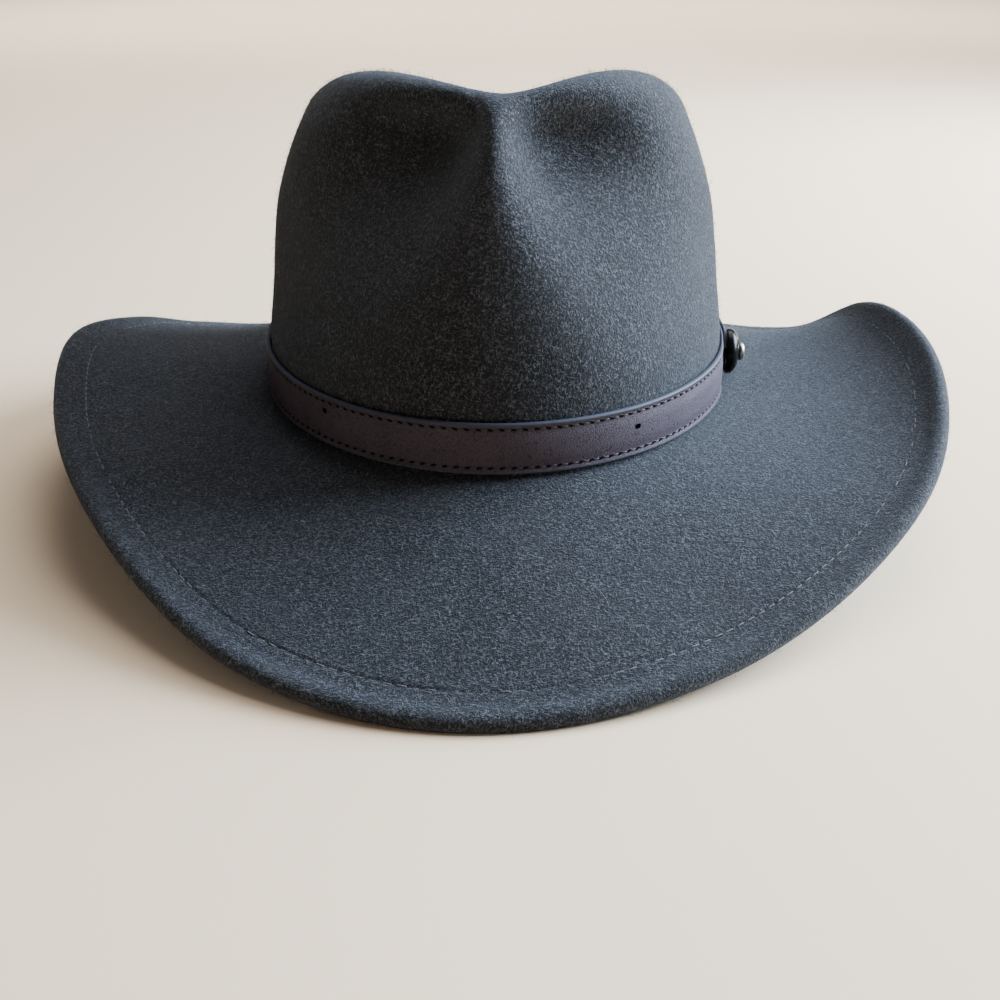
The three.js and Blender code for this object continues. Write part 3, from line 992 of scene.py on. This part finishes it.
@dataclass(frozen=True)
class GlossFinish:
    """Hard smooth finish with faint colour drift and hairline scuffs."""

    first: Colour
    second: Colour
    roughness: float
    scuffed: float
    metallic: float = 0.0
    gloss: float = 0.5
    density: float = 300.0
    contrast: float = 1.5
    scuff_denser: float = 1.7
    scuff_width: float = 0.012
    scuff_warp: float = 0.3
    bump: float = 0.5
    relief: float = 0.00002

    def build(self, name: str, groups: Groups) -> Material:
        """Makes the material.

        Args:
            name: Name of the material.
            groups: The shared shader groups, the strokes here as scuffs.

        Returns:
            The material.
        """
        material, graph, shader = new_material(name)
        at = graph.place()
        look = {"Density": self.density, "Contrast": self.contrast}
        patches = graph.group(groups.mottle, Vector=at, **look)
        look = {"Density": self.density * self.scuff_denser, "Width": self.scuff_width}
        scuffs = graph.group(groups.strokes, Vector=at, Warp=self.scuff_warp, **look)
        graph.feed(shader, {
            "Base Color": graph.mix(patches, self.first, self.second),
            "Roughness": graph.ramp(scuffs, 0.0, 1.0, self.roughness, self.scuffed),
            "Normal": graph.bump(patches, self.bump, self.relief),
            "Metallic": self.metallic,
            "Specular IOR Level": self.gloss,
        })
        return material


@dataclass(frozen=True)
class ThreadFinish:
    """Twisted thread: fine slanting plies, darker between them."""

    base: Colour
    dark: Colour
    roughness: float
    darker_rough: float = 0.1
    density: float = 900.0
    slip: float = 1.5
    bump: float = 0.4
    relief: float = 0.0001

    def build(self, name: str) -> Material:
        """Makes the material: a slanting wave for the plies, in colour and bump.

        Args:
            name: Name of the material.

        Returns:
            The material.
        """
        material, graph, shader = new_material(name)
        inputs = {"Vector": graph.place(), "Scale": self.density, "Distortion": self.slip}
        plies = graph.add("ShaderNodeTexWave", inputs, bands_direction="DIAGONAL").outputs["Fac"]
        rough = self.roughness + self.darker_rough
        graph.feed(shader, {
            "Base Color": graph.mix(plies, self.dark, self.base),
            "Normal": graph.bump(plies, self.bump, self.relief),
            "Roughness": graph.ramp(plies, 0.0, 1.0, rough, self.roughness),
        })
        return material


@dataclass(frozen=True)
class FeltBody:
    """Crown and brim as one closed wall of felt, its brim edge folded under and stitched."""

    crown: CrownForm
    brim: BrimForm
    thickness: float = 2.4
    fold_thickness: float = 4.6
    fold_width: float = 10.0
    fold_step: float = 1.5
    rest_height: float = -34.6
    columns: int = 384
    crown_rings: int = 64
    fillet_turns: tuple[float, ...] = (0.25, 0.5, 0.75)
    brim_rings: int = 34
    seam_rings: int = 42
    edge_rings: int = 10
    strip_rings: int = 8
    under_rings: int = 26
    inner_rings: int = 30
    seam_zone: float = 15.0
    stitch_in: float = 10.6
    groove_depth: float = 0.34
    groove_width: float = 0.55
    pull_mean: float = 0.65
    pull_swing: float = 0.35
    pull_waves: tuple[int, int] = (11, 17)
    pull_phase: float = 1.0
    puff: float = 1.1
    puff_in: float = 3.0
    puff_spread: float = 3.3
    seam_pitch: float = 3.9
    seam_thread: float = 0.17
    seam_seed: int = 5
    seam_samples: int = 1441
    stitch_points: int = 7
    stitch_sides: int = 5
    stitch_span: float = 0.4
    stitch_sunk: Pair = (-0.45, 0.08)
    stitch_dive: float = 0.25
    waviness: float = 0.35
    waves: tuple[Place, ...] = (
        (0.031, 0.022, 0.040),
        (-0.047, 0.036, 0.018),
        (0.019, -0.058, 0.051),
        (0.071, 0.043, -0.032),
    )
    phases: tuple[float, ...] = (0.4, 1.9, 3.1, 5.0)
    calm_height: float = 8.0
    calm_range: Pair = (14.0, 30.0)
    wavy_range: Pair = (0.25, 0.5)

    def azimuths(self) -> Array:
        """Azimuths of the columns, as one row."""
        return np.linspace(0.0, 360.0, self.columns, endpoint=False)[None, :]

    def relief(self, azimuth: Array, across: Array) -> Array:
        """How far the brim's upper face stands proud: a groove at the seam, a puff outside it.

        Both are bells over the distance in from the edge. The groove's depth swells and fades
        with a product of two waves round the brim.

        Args:
            azimuth: Degrees in plan.
            across: From 0 at the fillet to 1 at the edge.

        Returns:
            Heights over the smooth brim.
        """
        edge = (1.0 - across) * self.brim.row(azimuth)[0]
        turn = np.radians(azimuth)
        fast, slow = np.sin(self.pull_waves[1] * turn), self.pull_waves[0] * turn
        pull = self.pull_mean + self.pull_swing * np.sin(slow + self.pull_phase) * fast
        groove = self.groove_depth * pull * bell(edge - self.stitch_in, self.groove_width)
        return self.puff * bell(edge - self.puff_in, self.puff_spread) - groove

    def unevenness(self, points: Array) -> Array:
        """Slight unevenness of hand-shaped felt: a few slow waves added up, none at the band.

        Args:
            points: Points of the smooth felt.

        Returns:
            How far the felt stands proud of each.
        """
        total = np.sin(points @ np.array(self.waves).T + self.phases).sum(-1) / len(self.phases)
        clear = smoothstep(np.abs(points[..., 2] - self.calm_height), *self.calm_range)
        return self.waviness * total * clear

    def raised(self, surface: Surface, azimuth: Array, place: Array, amount: Amount) -> Array:
        """Points of a surface carried along its normal.

        Args:
            surface: Function of azimuth and place.
            azimuth: Degrees in plan.
            place: From 0 to 1 on the surface.
            amount: How far, outwards above 0.

        Returns:
            Points on the last axis.
        """
        azimuth, place = together(azimuth, place)
        normal = surface_normal(surface, azimuth, place)
        return surface(azimuth, place) + normal * np.asarray(amount)[..., None]

    def inside(self, azimuth: Array, distance: Amount) -> Array:
        """Place across the brim at a distance in from its edge."""
        return 1.0 - distance / self.brim.row(azimuth)[0]

    def rolled_edge(self, azimuth: Array) -> Array:
        """Rings of the round edge: a half circle from the upper face to the folded strip.

        Args:
            azimuth: Azimuths as one row.

        Returns:
            Rings of points.
        """
        roll = self.fold_thickness / 2
        place = self.inside(azimuth, roll)
        start = self.brim.point(azimuth, place)
        normal = surface_normal(self.brim.point, azimuth, place)
        out = unit(self.brim.point(azimuth, 1.0 + 0 * azimuth) - start)
        angle = (np.pi * np.arange(1, self.edge_rings + 1) / self.edge_rings)[:, None, None]
        swell = self.relief(azimuth, place)[..., None] * (1 + np.cos(angle)) / 2
        return start + normal * (roll * (np.cos(angle) - 1) + swell) + out * roll * np.sin(angle)

    def rings(self) -> Array:
        """All rings of the closed wall, from the outside of the crown over the edge to its inside.

        Returns:
            Points on the last axis, rings on the first.
        """
        azimuth, over, under = self.azimuths(), self.brim.point, -self.thickness
        down = (np.arange(1, self.crown_rings + 1) / self.crown_rings)[:, None]
        outer = self.crown.down(azimuth, down)
        outer = self.raised(self.crown.down, azimuth, down, self.unevenness(outer))
        turns = np.array(self.fillet_turns)[:, None]
        fillet = self.brim.fillet_point(azimuth, turns)
        share = np.linspace(0.0, 1.0, self.brim_rings, endpoint=False)[:, None]
        place = self.inside(azimuth, self.seam_zone) * share
        seam = np.linspace(self.seam_zone, self.fold_thickness / 2, self.seam_rings)[:, None]
        place = np.concatenate([place, self.inside(azimuth, seam)])
        wide = np.broadcast_to(azimuth, place.shape)
        lift = self.unevenness(over(wide, place)) * smoothstep(place, *self.wavy_range)
        top = self.raised(over, wide, place, self.relief(wide, place) + lift)
        strip = np.linspace(self.fold_thickness / 2, self.fold_width, self.strip_rings + 1)
        strip = self.inside(azimuth, strip[1:, None])
        strip = self.raised(over, azimuth, strip, -self.fold_thickness)
        beneath = np.linspace(1.0, 0.0, self.under_rings, endpoint=False)[:, None]
        beneath = self.inside(azimuth, self.fold_width + self.fold_step) * beneath
        low = self.raised(over, azimuth, beneath, under)
        turn = self.raised(self.brim.fillet_point, azimuth, turns[::-1], under)
        up = (1.0 - np.arange(self.inner_rings) / self.inner_rings)[:, None]
        inner = self.raised(self.crown.down, azimuth, up, under)
        edge = self.rolled_edge(azimuth)
        rings = np.concatenate([outer, fillet, top, edge, strip, low, turn, inner])
        rings[..., 2] = np.maximum(rings[..., 2], self.rest_height)
        return rings

    def build(self, material: Material) -> Object:
        """Makes the felt: the rings joined by quads, with a fan at each end of the crown.

        Args:
            material: The felt.

        Returns:
            The piece.
        """
        rings = self.rings()
        top = self.crown.point(0.0, 1.0)
        points = np.concatenate([rings.reshape(-1, 3), [top, top - self.thickness * UP]])
        mesh = make_mesh("felt", to_row(points), *tube_faces(len(rings), self.columns))
        return add_piece("felt_shell", mesh, [material], "felt", "felt_body")

    def stitches(self, material: Material) -> Object:
        """Makes the stitches of the folded edge: short rods along the seam, sunk by uneven amounts.

        Args:
            material: The thread.

        Returns:
            The piece.
        """
        random = np.random.default_rng(self.seam_seed)
        azimuth = np.linspace(0.0, 360.0, self.seam_samples)
        length = run_length(self.brim.point(azimuth, self.inside(azimuth, self.stitch_in)))
        starts = np.arange(0.0, length[-1] - self.seam_pitch, self.seam_pitch)[:, None]
        share = np.linspace(-1.0, 1.0, self.stitch_points)
        middle = starts + self.seam_pitch * (0.5 + self.stitch_span * share)
        turn = np.interp(middle, length, azimuth)
        sunk = random.uniform(*self.stitch_sunk, starts.shape) - self.stitch_dive * share**4
        paths = self.raised(self.brim.point, turn, self.inside(turn, self.stitch_in), sunk)
        mesh = rod_mesh("brim_stitches", paths, self.seam_thread, self.stitch_sides)
        return add_piece("brim_stitches", mesh, [material], "felt")


@dataclass(frozen=True)
class HatBand:
    """Leather strap round the foot of the crown, with two seams, painted edges and two holes."""

    crown: CrownForm
    thickness: float = 2.0
    height: float = 16.3
    bottom: float = 1.5
    clearance: float = 0.3
    start: float = -10.0
    end: float = 376.0
    lap_thickness: float = 1.0
    outer_lap: Pair = (17.0, 27.0)
    inner_lap: Pair = (336.0, 348.0)
    tip_length: float = 7.0
    tip_share: float = 0.35
    round_edge: float = 0.7
    paint_reach: float = 1.15
    step: float = 0.6
    corner_points: int = 11
    face_points: int = 45
    back_points: int = 9
    seam_in: float = 2.0
    seam_depth: float = 0.62
    seam_spread: float = 1.15
    pitch: float = 3.5
    plain_stitches: int = 3
    thread: float = 0.3
    thread_taper: float = 0.75
    stitch_points: int = 9
    stitch_sides: int = 6
    stitch_span: float = 0.31
    stitch_lift: float = 0.02
    stitch_dive: float = 0.42
    lip_slope: float = 0.55
    hole_half_width: float = 0.5
    hole_half_height: float = 0.35
    hole_sides: int = 32
    hole_reach: float = 3.0
    holes: tuple[Pair, ...] = ((301.0, 11.2), (231.0, 13.0))

    @property
    def middle(self) -> float:
        """Height of the strap's middle line."""
        return self.bottom + self.height / 2

    def layer(self, azimuth: Array) -> tuple[Array, Array]:
        """Where the strap lies on the wall: at its lap, two layers pared thin.

        Args:
            azimuth: Degrees along the strap.

        Returns:
            Distance out of its inner face, and its thickness.
        """
        outer = 1 - smoothstep(azimuth, *self.outer_lap)
        inner = smoothstep(azimuth, *self.inner_lap)
        out = self.clearance + outer * (self.lap_thickness + self.clearance)
        pared = self.lap_thickness - self.thickness
        return out, self.thickness + pared * np.maximum(outer, inner)

    def share(self, azimuth: Array) -> Array:
        """Share of the height that the rounded tip keeps: a quarter circle over its length."""
        run = np.radians(azimuth - self.start) * self.crown.foot_side
        left = 1 - np.minimum(run, self.tip_length) / self.tip_length
        return self.tip_share + (1 - self.tip_share) * np.sqrt(np.clip(1 - left**2, 0.0, 1.0))

    def section(self) -> tuple[Array, Array, Array]:
        """The strap's section as points that go round it once.

        Flat back, domed painted edges and a front face with a furrow at each seam.

        Returns:
            Share of the thickness, height from the middle, and furrow depth, for each point.
        """
        half = self.height / 2
        flat = half - self.round_edge
        angle = np.linspace(-np.pi / 2, np.pi / 2, self.corner_points)
        face = np.linspace(-flat, flat, self.face_points)[1:-1]
        back = np.linspace(flat, -flat, self.back_points)[1:-1]
        dome = self.round_edge * np.cos(angle)
        up = np.concatenate([-flat - dome, face, flat + dome, back])
        front, rear = (1 + np.sin(angle)) / 2, (1 - np.sin(angle)) / 2
        through = np.concatenate([front, np.ones(len(face)), rear, np.zeros(len(back))])
        off = np.abs(up) - half + self.seam_in
        spread = np.where(off > 0, self.seam_spread, 2 * self.seam_spread)
        furrow = bell(off, spread) * smoothstep(through, 0.5, 1.0)
        return through, up, furrow * self.seam_depth

    def arc(self) -> tuple[Array, Array]:
        """Azimuths along the strap and the length run from its start to each, in millimetres."""
        azimuth = np.arange(self.start, self.end + 0.01, self.step)
        return azimuth, run_length(self.crown.wall(azimuth, self.middle, 1.0))

    def mesh(self) -> Mesh:
        """Mesh of the strap: its section carried round the crown, closed at both ends.

        Returns:
            The mesh, with the run along and the height up as its map.
        """
        azimuth, length = self.arc()
        through, up, furrow = self.section()
        wide = azimuth[:, None] + 0 * up[None, :]
        out, thick = self.layer(wide)
        height = self.middle + up * self.share(wide)
        points = self.crown.wall(wide, height, out + thick * through - furrow)
        sections, around = wide.shape
        flat = np.stack([np.repeat(length, around), np.tile(up, sections)], -1)
        flat = np.concatenate([flat, [[0.0, 0.0], [length[-1], 0.0]]]) * MM
        points = np.concatenate([points.reshape(-1, 3), points[[0, -1]].mean(axis=1)])
        quads, triangles = tube_faces(sections, around)
        mesh = make_mesh("strap", to_row(points), quads[:, ::-1], triangles)
        set_uv(mesh, "strap", flat)
        return mesh

    def cutter(self, azimuth: float, height: float) -> Mesh:
        """Solid that cuts one hole: an oval prism to the middle of the strap, then a wider cone.

        Args:
            azimuth: Degrees in plan.
            height: Height on the wall.

        Returns:
            The mesh.
        """
        turn, reach = full_turn(self.hole_sides), self.hole_reach
        wide = 1 + reach * self.lip_slope / self.hole_half_height
        out = self.crown.outward(azimuth)
        middle = self.crown.wall(azimuth, height, self.thickness / 2 + self.clearance)
        oval = sideways(out) * (self.hole_half_width * np.cos(turn))[:, None]
        oval = oval + UP * (self.hole_half_height * np.sin(turn))[:, None]
        tips = [middle - reach * out, middle + reach * out]
        cone = middle + oval * wide + reach * out
        points = np.concatenate([middle + oval - reach * out, middle + oval, cone, tips])
        quads, triangles = tube_faces(3, self.hole_sides)
        return make_mesh("hole_cutter", to_row(points), quads[:, ::-1], triangles[:, ::-1])

    def punch(self, piece: Object) -> None:
        """Cuts the two oval sizing holes through the strap, with a lip that widens outwards.

        Args:
            piece: The strap.
        """
        for azimuth, height in self.holes:
            cutter = place_object("hole_cutter", self.cutter(azimuth, height))
            cut = piece.modifiers.new("hole", "BOOLEAN")
            cut.operation, cut.solver, cut.object = "DIFFERENCE", "EXACT", cutter
            bpy.context.view_layer.update()
            whole = piece.evaluated_get(bpy.context.evaluated_depsgraph_get())
            solid = bpy.data.meshes.new_from_object(whole)
            piece.modifiers.clear()
            piece.data = solid
            bpy.data.objects.remove(cutter)

    def build(self, leather: Material, paint: Material) -> Object:
        """Makes the strap and paints its two edges.

        A face is painted where the mean height of its corners, in the strap's map, lies on the
        round of an edge or just short of it.

        Args:
            leather: Material of the faces.
            paint: Material of the edges.

        Returns:
            The piece.
        """
        finishes = [leather, paint]
        piece = add_piece("leather_strap", self.mesh(), finishes, "band_leather", "hat_band")
        self.punch(piece)
        mesh = piece.data
        flat = np.empty(len(mesh.loops) * 2)
        mesh.uv_layers["strap"].data.foreach_get("uv", flat)
        starts = np.empty(len(mesh.polygons), np.int32)
        mesh.polygons.foreach_get("loop_start", starts)
        corners = np.diff(np.append(starts, len(mesh.loops)))
        height = np.add.reduceat(np.abs(flat[1::2]), starts) / corners / MM
        edge = height > self.height / 2 - self.round_edge * self.paint_reach
        mesh.polygons.foreach_set("material_index", edge.astype(np.int32))
        return piece

    def stitches(self, material: Material) -> Object:
        """Makes both rows of stitches: short bent rods whose ends dive into the leather.

        Each rod runs along the strap, thickest in its middle, and sinks at both ends.

        Args:
            material: The thread.

        Returns:
            The piece.
        """
        azimuth, length = self.arc()
        margin = self.pitch * self.plain_stitches
        starts = np.arange(margin, length[-1] - margin, self.pitch)[:, None]
        share = np.linspace(-1.0, 1.0, self.stitch_points)
        turn = np.interp(starts + self.pitch * (0.5 + self.stitch_span * share), length, azimuth)
        out, thick = self.layer(turn)
        out = out + thick - self.seam_depth + (self.stitch_lift - self.stitch_dive * share**4)
        row = self.height / 2 - self.seam_in
        rods = [self.crown.wall(turn, self.middle + hand * row, out) for hand in (-1, 1)]
        radius = self.thread * np.sqrt(1 - self.thread_taper * share[1:-1] ** 4)
        mesh = rod_mesh("strap_stitches", np.concatenate(rods), radius, self.stitch_sides)
        return add_piece("strap_stitches", mesh, [material], "band_leather")


@dataclass(frozen=True)
class Button:
    """Domed button and the head of its stud, turned about an axis straight out of the strap."""

    crown: CrownForm
    azimuth: float = -7.0
    height: float = 9.6
    radius: float = 8.3
    edge: float = 0.5
    edge_points: int = 6
    rim: float = 1.2
    dome: float = 4.6
    dome_turn: float = 1.16
    dome_points: int = 16
    bore: float = 1.6
    seat: float = 2.9
    back: float = 0.25
    stud_radius: float = 1.3
    head_radius: float = 3.3
    head_height: float = 1.9
    head_side: float = 0.5
    head_bevel: float = 0.2
    head_points: int = 10
    head_bluntness: float = 0.6
    clearance: float = 0.3
    sides: int = 72

    def turned(self, name: str, profile: Array, closed: bool) -> Mesh:
        """Mesh of a profile turned about the button's axis.

        Each profile point goes round the axis at its own radius and distance out.

        Args:
            name: Name of the mesh.
            profile: Pairs of radius and distance out.
            closed: Whether the profile is a loop. Otherwise both ends lie on the axis.

        Returns:
            The mesh.
        """
        axis = self.crown.outward(self.azimuth)
        base = self.crown.wall(self.azimuth, self.height, self.seat)
        angle = full_turn(self.sides)
        way = sideways(axis) * np.cos(angle)[:, None] + UP * np.sin(angle)[:, None]
        ring = profile if closed else profile[1:-1]
        points = (base + ring[:, None, :1] * way + axis * ring[:, None, 1:]).reshape(-1, 3)
        if closed:
            quads = grid_faces(len(ring) + 1, self.sides) % len(points)
            return make_mesh(name, to_row(points), quads, np.empty(0, int))
        points = np.concatenate([points, base + axis * profile[[0, -1], 1:]])
        return make_mesh(name, to_row(points), *tube_faces(len(ring), self.sides))

    def disc(self) -> Array:
        """Profile of the button, a loop round its bore: flat back, round edge, rim and dome.

        Returns:
            Pairs of radius and distance out.
        """
        corner = np.linspace(0.0, np.pi / 2, self.edge_points)
        radius = self.radius - self.edge + self.edge * np.sin(corner)
        low = np.stack([radius, self.edge * (1 - np.cos(corner)) - self.back], -1)
        arc = np.linspace(0.0, self.dome_turn, self.dome_points)[1:]
        rise = (self.dome - self.rim) * np.sin(arc) / np.sin(self.dome_turn)
        dome = np.stack([self.radius * np.cos(arc), self.rim + rise], -1)
        start, finish = [self.bore, -self.back], [self.bore, self.dome]
        return np.concatenate([[start], low, [[self.radius, self.rim]], dome, [finish]])

    def stud(self) -> Array:
        """Profile of the stud, from its foot in the felt up its shank and over its round head.

        Returns:
            Pairs of radius and distance out.
        """
        seat, foot = self.dome + self.clearance, self.clearance - self.seat
        wide, cut = self.head_radius, self.head_bevel
        ball = np.linspace(0.0, np.pi / 2, self.head_points)[:-1]
        out = seat + self.head_side + (self.head_height - self.head_side) * np.sin(ball)
        head = np.stack([wide * np.cos(ball) ** self.head_bluntness, out], -1)
        shank = [[0.0, foot], [self.stud_radius, foot], [self.stud_radius, seat]]
        bevel = [[wide - cut, seat], [wide, seat + cut]]
        return np.concatenate([shank, bevel, head, [[0.0, seat + self.head_height]]])

    def build(self, gloss: Material, metal: Material) -> list[Object]:
        """Makes the button and the stud.

        Args:
            gloss: Material of the button.
            metal: Material of the stud.

        Returns:
            Both pieces.
        """
        disc = self.turned("button", self.disc(), True)
        pin = self.turned("stud", self.stud(), False)
        return [
            add_piece("gloss_button", disc, [gloss], "button_gloss", "band_button"),
            add_piece("metal_stud", pin, [metal], "stud_metal", "button_stud"),
        ]


@dataclass(frozen=True)
class LooseFibres:
    """Wool fibres that stand out of the felt's surface, as thin closed spindles."""

    felt: FeltBody
    name: str
    seed: int
    shortest: float
    longest: float
    thickness: float
    lift: float
    curl: float
    count: int = 15000
    steps: int = 2
    sides: int = 3
    droop: float = 0.6
    flattest: float = 0.05
    taper: float = 0.8
    uneven: Pair = (0.7, 1.3)

    def build(self, rings: Array, material: Material) -> Object:
        """Scatters the fibres over the outside of crown and brim.

        Each starts at a random place of the grid, leans over at random and bends as it goes.

        Args:
            rings: Rings of the felt's wall.
            material: The fibres' colour.

        Returns:
            The piece.
        """
        random = np.random.default_rng(self.seed)
        felt, each = self.felt, (self.count, 1)
        outside = felt.crown_rings + len(felt.fillet_turns) + felt.brim_rings
        grid = rings[: outside + felt.seam_rings + felt.edge_rings]
        down = np.diff(grid, axis=0)
        beside = np.roll(grid, -1, axis=1)[:-1] - grid[:-1]
        normal = np.cross(down, beside)
        area = np.linalg.norm(normal, axis=-1)
        chosen = random.choice(area.size, self.count, p=(area / area.sum()).ravel())
        at = np.unravel_index(chosen, area.shape)
        share = random.random((self.count, 2, 1))
        root = grid[:-1][at] + down[at] * share[:, 0] + beside[at] * share[:, 1]
        up, first = unit(normal[at]), unit(down[at])
        turn = random.random(each) * 2 * np.pi
        flat = first * np.cos(turn) + np.cross(up, first) * np.sin(turn)
        side = np.cross(up, flat)
        length = random.uniform(self.shortest, self.longest, each)
        rise = random.uniform(self.flattest, 1.0, each) ** 2 * self.lift * length
        bend = random.normal(0.0, self.curl, each) * length
        share = np.linspace(0.0, 1.0, self.steps + 2)[:, None]
        paths = root[:, None] + (flat * length)[:, None] * share
        paths = paths + (up * rise)[:, None] * share * (1 + self.droop - self.droop * share)
        paths = paths + (side * bend)[:, None] * share**2
        paths[..., 2] = np.maximum(paths[..., 2], felt.rest_height + self.thickness)
        radius = self.thickness * np.linspace(1.0, self.taper, self.steps)
        mesh = rod_mesh(self.name, paths, radius * random.uniform(*self.uneven, each), self.sides)
        return add_piece(self.name, mesh, [material], "felt")


class Lamp(NamedTuple):
    """One square soft light, in metres, watts and degrees."""

    name: str
    place: Place
    target: Place
    size: float
    power: float
    colour: tuple[float, float, float]
    spread: float = 180.0

    def build(self) -> None:
        """Adds the light and turns it to its target: tilted about X, then about Z."""
        light = bpy.data.lights.new(self.name, "AREA")
        light.size, light.energy, light.color = self.size, self.power, self.colour
        light.spread = np.radians(self.spread)
        lamp = place_object(self.name, light)
        aim = np.array(self.target) - np.array(self.place)
        tilt = np.arctan2(np.hypot(aim[0], aim[1]), -aim[2])
        lamp.location = self.place
        lamp.rotation_euler = (tilt, 0.0, np.arctan2(aim[1], aim[0]) - np.pi / 2)


@dataclass(frozen=True)
class Studio:
    """Plain pale floor that curves up all round, soft lights, and the photograph's camera."""

    floor_radius: float = 6.0
    floor_rings: tuple[float, ...] = (0.2, 0.6, 1.5, 3.0)
    floor_sides: int = 96
    floor_colours: tuple[Colour, Colour] = ((0.80, 0.61, 0.41, 1.0), (0.84, 0.65, 0.45, 1.0))
    floor_density: float = 3.0
    floor_roughness: float = 0.7
    cove_height: float = 1.6
    cove_rings: int = 16
    lamps: tuple[Lamp, ...] = (
        Lamp("window_light", (1.22, 0.36, 0.56), HAT_MIDDLE, 0.9, 146.0, (0.70, 0.835, 1.0)),
        Lamp("ceiling_light", (0.45, 0.75, 1.65), HAT_MIDDLE, 1.4, 42.0, (0.97, 0.98, 1.0)),
        Lamp("backdrop_light", (0, 3.9, 1.9), (0, 4.0, 0), 4.6, 220.0, (0.90, 0.95, 1.0), 110.0),
    )
    room_colour: Colour = (0.97, 0.93, 0.93, 1.0)
    room_strength: float = 0.185
    camera_place: Place = (0.0014, -0.4073, 0.1781)
    camera_tilt: float = 63.5
    lens: float = 39.6
    sensor: float = 36.0
    nearest: float = 0.01

    def floor(self) -> None:
        """Makes the floor: a disc whose rim turns up on a quarter circle."""
        turn = np.linspace(0.0, np.pi / 2, self.cove_rings)
        rim = self.floor_radius + self.cove_height * np.sin(turn)
        radius = np.append(self.floor_rings, rim)[:, None]
        rise = self.cove_height * (1 - np.cos(turn))
        height = np.append(np.zeros(len(self.floor_rings)), rise)[:, None]
        angle = full_turn(self.floor_sides)
        rings = [radius * np.cos(angle), radius * np.sin(angle), height + 0 * angle]
        points = np.append(np.stack(rings, -1).reshape(-1, 3), [[0.0, 0.0, 0.0]], axis=0)
        quads = grid_faces(len(radius), self.floor_sides)
        mesh = make_mesh("floor", points, quads, fan(len(points) - 1, 0, self.floor_sides))
        material, graph, shader = new_material("studio_floor")
        cloud = graph.noise(graph.place(), self.floor_density)
        shade = graph.mix(cloud, *self.floor_colours)
        graph.feed(shader, {"Base Color": shade, "Roughness": self.floor_roughness})
        mesh.materials.append(material)
        floor = place_object("studio_floor", mesh)

    def room(self) -> None:
        """Makes the even light of the surroundings."""
        world = bpy.data.worlds.new("room")
        world.use_nodes = True
        bpy.context.scene.world = world
        inputs = world.node_tree.nodes["Background"].inputs
        inputs["Color"].default_value = self.room_colour
        inputs["Strength"].default_value = self.room_strength

    def camera(self) -> None:
        """Makes the camera that the photograph was matched with."""
        camera = place_object("camera", bpy.data.cameras.new("camera"))
        camera.data.lens, camera.data.sensor_width = self.lens, self.sensor
        camera.data.clip_start = self.nearest
        camera.location = self.camera_place
        camera.rotation_euler = (np.radians(self.camera_tilt), 0.0, 0.0)
        bpy.context.scene.camera = camera

    def build(self) -> None:
        """Makes floor, lights, surroundings and camera."""
        self.floor()
        for lamp in self.lamps:
            lamp.build()
        self.room()
        self.camera()


BLACK = GlossFinish(
    (0.003, 0.003, 0.003, 1.0), (0.006, 0.006, 0.006, 1.0), 0.24, 0.36, gloss=0.08
)
STEEL = GlossFinish(
    (0.26, 0.25, 0.21, 1.0), (0.50, 0.48, 0.41, 1.0), 0.30, 0.45, metallic=1.0, density=700.0
)
PAINT = GlossFinish(
    (0.030, 0.036, 0.054, 1.0), (0.044, 0.052, 0.076, 1.0), 0.58, 0.70,
    gloss=0.25, density=500.0, relief=0.00008,
)
WAXED_THREAD = ThreadFinish((0.062, 0.046, 0.056, 1.0), (0.022, 0.016, 0.020, 1.0), 0.65)
SEAM_THREAD = ThreadFinish((0.17, 0.175, 0.19, 1.0), (0.08, 0.085, 0.095, 1.0), 0.6)
PALE_FIBRE = FibreFinish((0.16, 0.17, 0.185, 1.0))
GREY_FIBRE = FibreFinish((0.045, 0.047, 0.052, 1.0))
DARK_FIBRE = FibreFinish((0.020, 0.021, 0.024, 1.0))


def loose_fibres(felt: FeltBody) -> list[Object]:
    """Builds the three kinds of nap, and the few long hairs that stand out of it.

    Args:
        felt: The felt that they grow on.

    Returns:
        The four pieces.
    """
    rings = felt.rings()
    pale = PALE_FIBRE.build("pale_fibre")
    grey = GREY_FIBRE.build("grey_fibre")
    dark = DARK_FIBRE.build("dark_fibre")
    kinds = (
        (LooseFibres(felt, "pale_nap", 11, 0.8, 2.4, thickness=0.030, lift=0.5, curl=0.35), pale),
        (LooseFibres(felt, "grey_nap", 12, 0.8, 2.4, thickness=0.040, lift=0.9, curl=0.45), grey),
        (LooseFibres(felt, "dark_nap", 13, 0.6, 1.5, thickness=0.045, lift=1.6, curl=0.45), dark),
        (LooseFibres(felt, "stray_hairs", 14, 3.0, 7.0, 0.05, 0.25, 0.8, count=60, steps=8), pale),
    )
    return [fibres.build(rings, material) for fibres, material in kinds]


def main() -> None:
    logging.basicConfig(level=logging.INFO, format="%(message)s")
    groups = Groups(stroke_group(), mottle_group(), fleck_group())
    crown = CrownForm()
    felt, band = FeltBody(crown, BrimForm(crown)), HatBand(crown)
    leather = LeatherFinish().build("band_leather", band, groups)
    pieces = [
        felt.build(FeltFinish().build("wool_felt", groups)),
        felt.stitches(SEAM_THREAD.build("brim_thread")),
        band.build(leather, PAINT.build("edge_paint", groups)),
        band.stitches(WAXED_THREAD.build("strap_thread")),
        *Button(crown).build(BLACK.build("black_gloss", groups), STEEL.build("stud_metal", groups)),
    ]
    pieces += loose_fibres(felt)
    Studio().build()
    for piece in pieces:
        triangles = len(piece.data.loops) - 2 * len(piece.data.polygons)
        LOG.info("%s: %d triangles", piece.name, triangles)


if __name__ == "__main__":
    main()
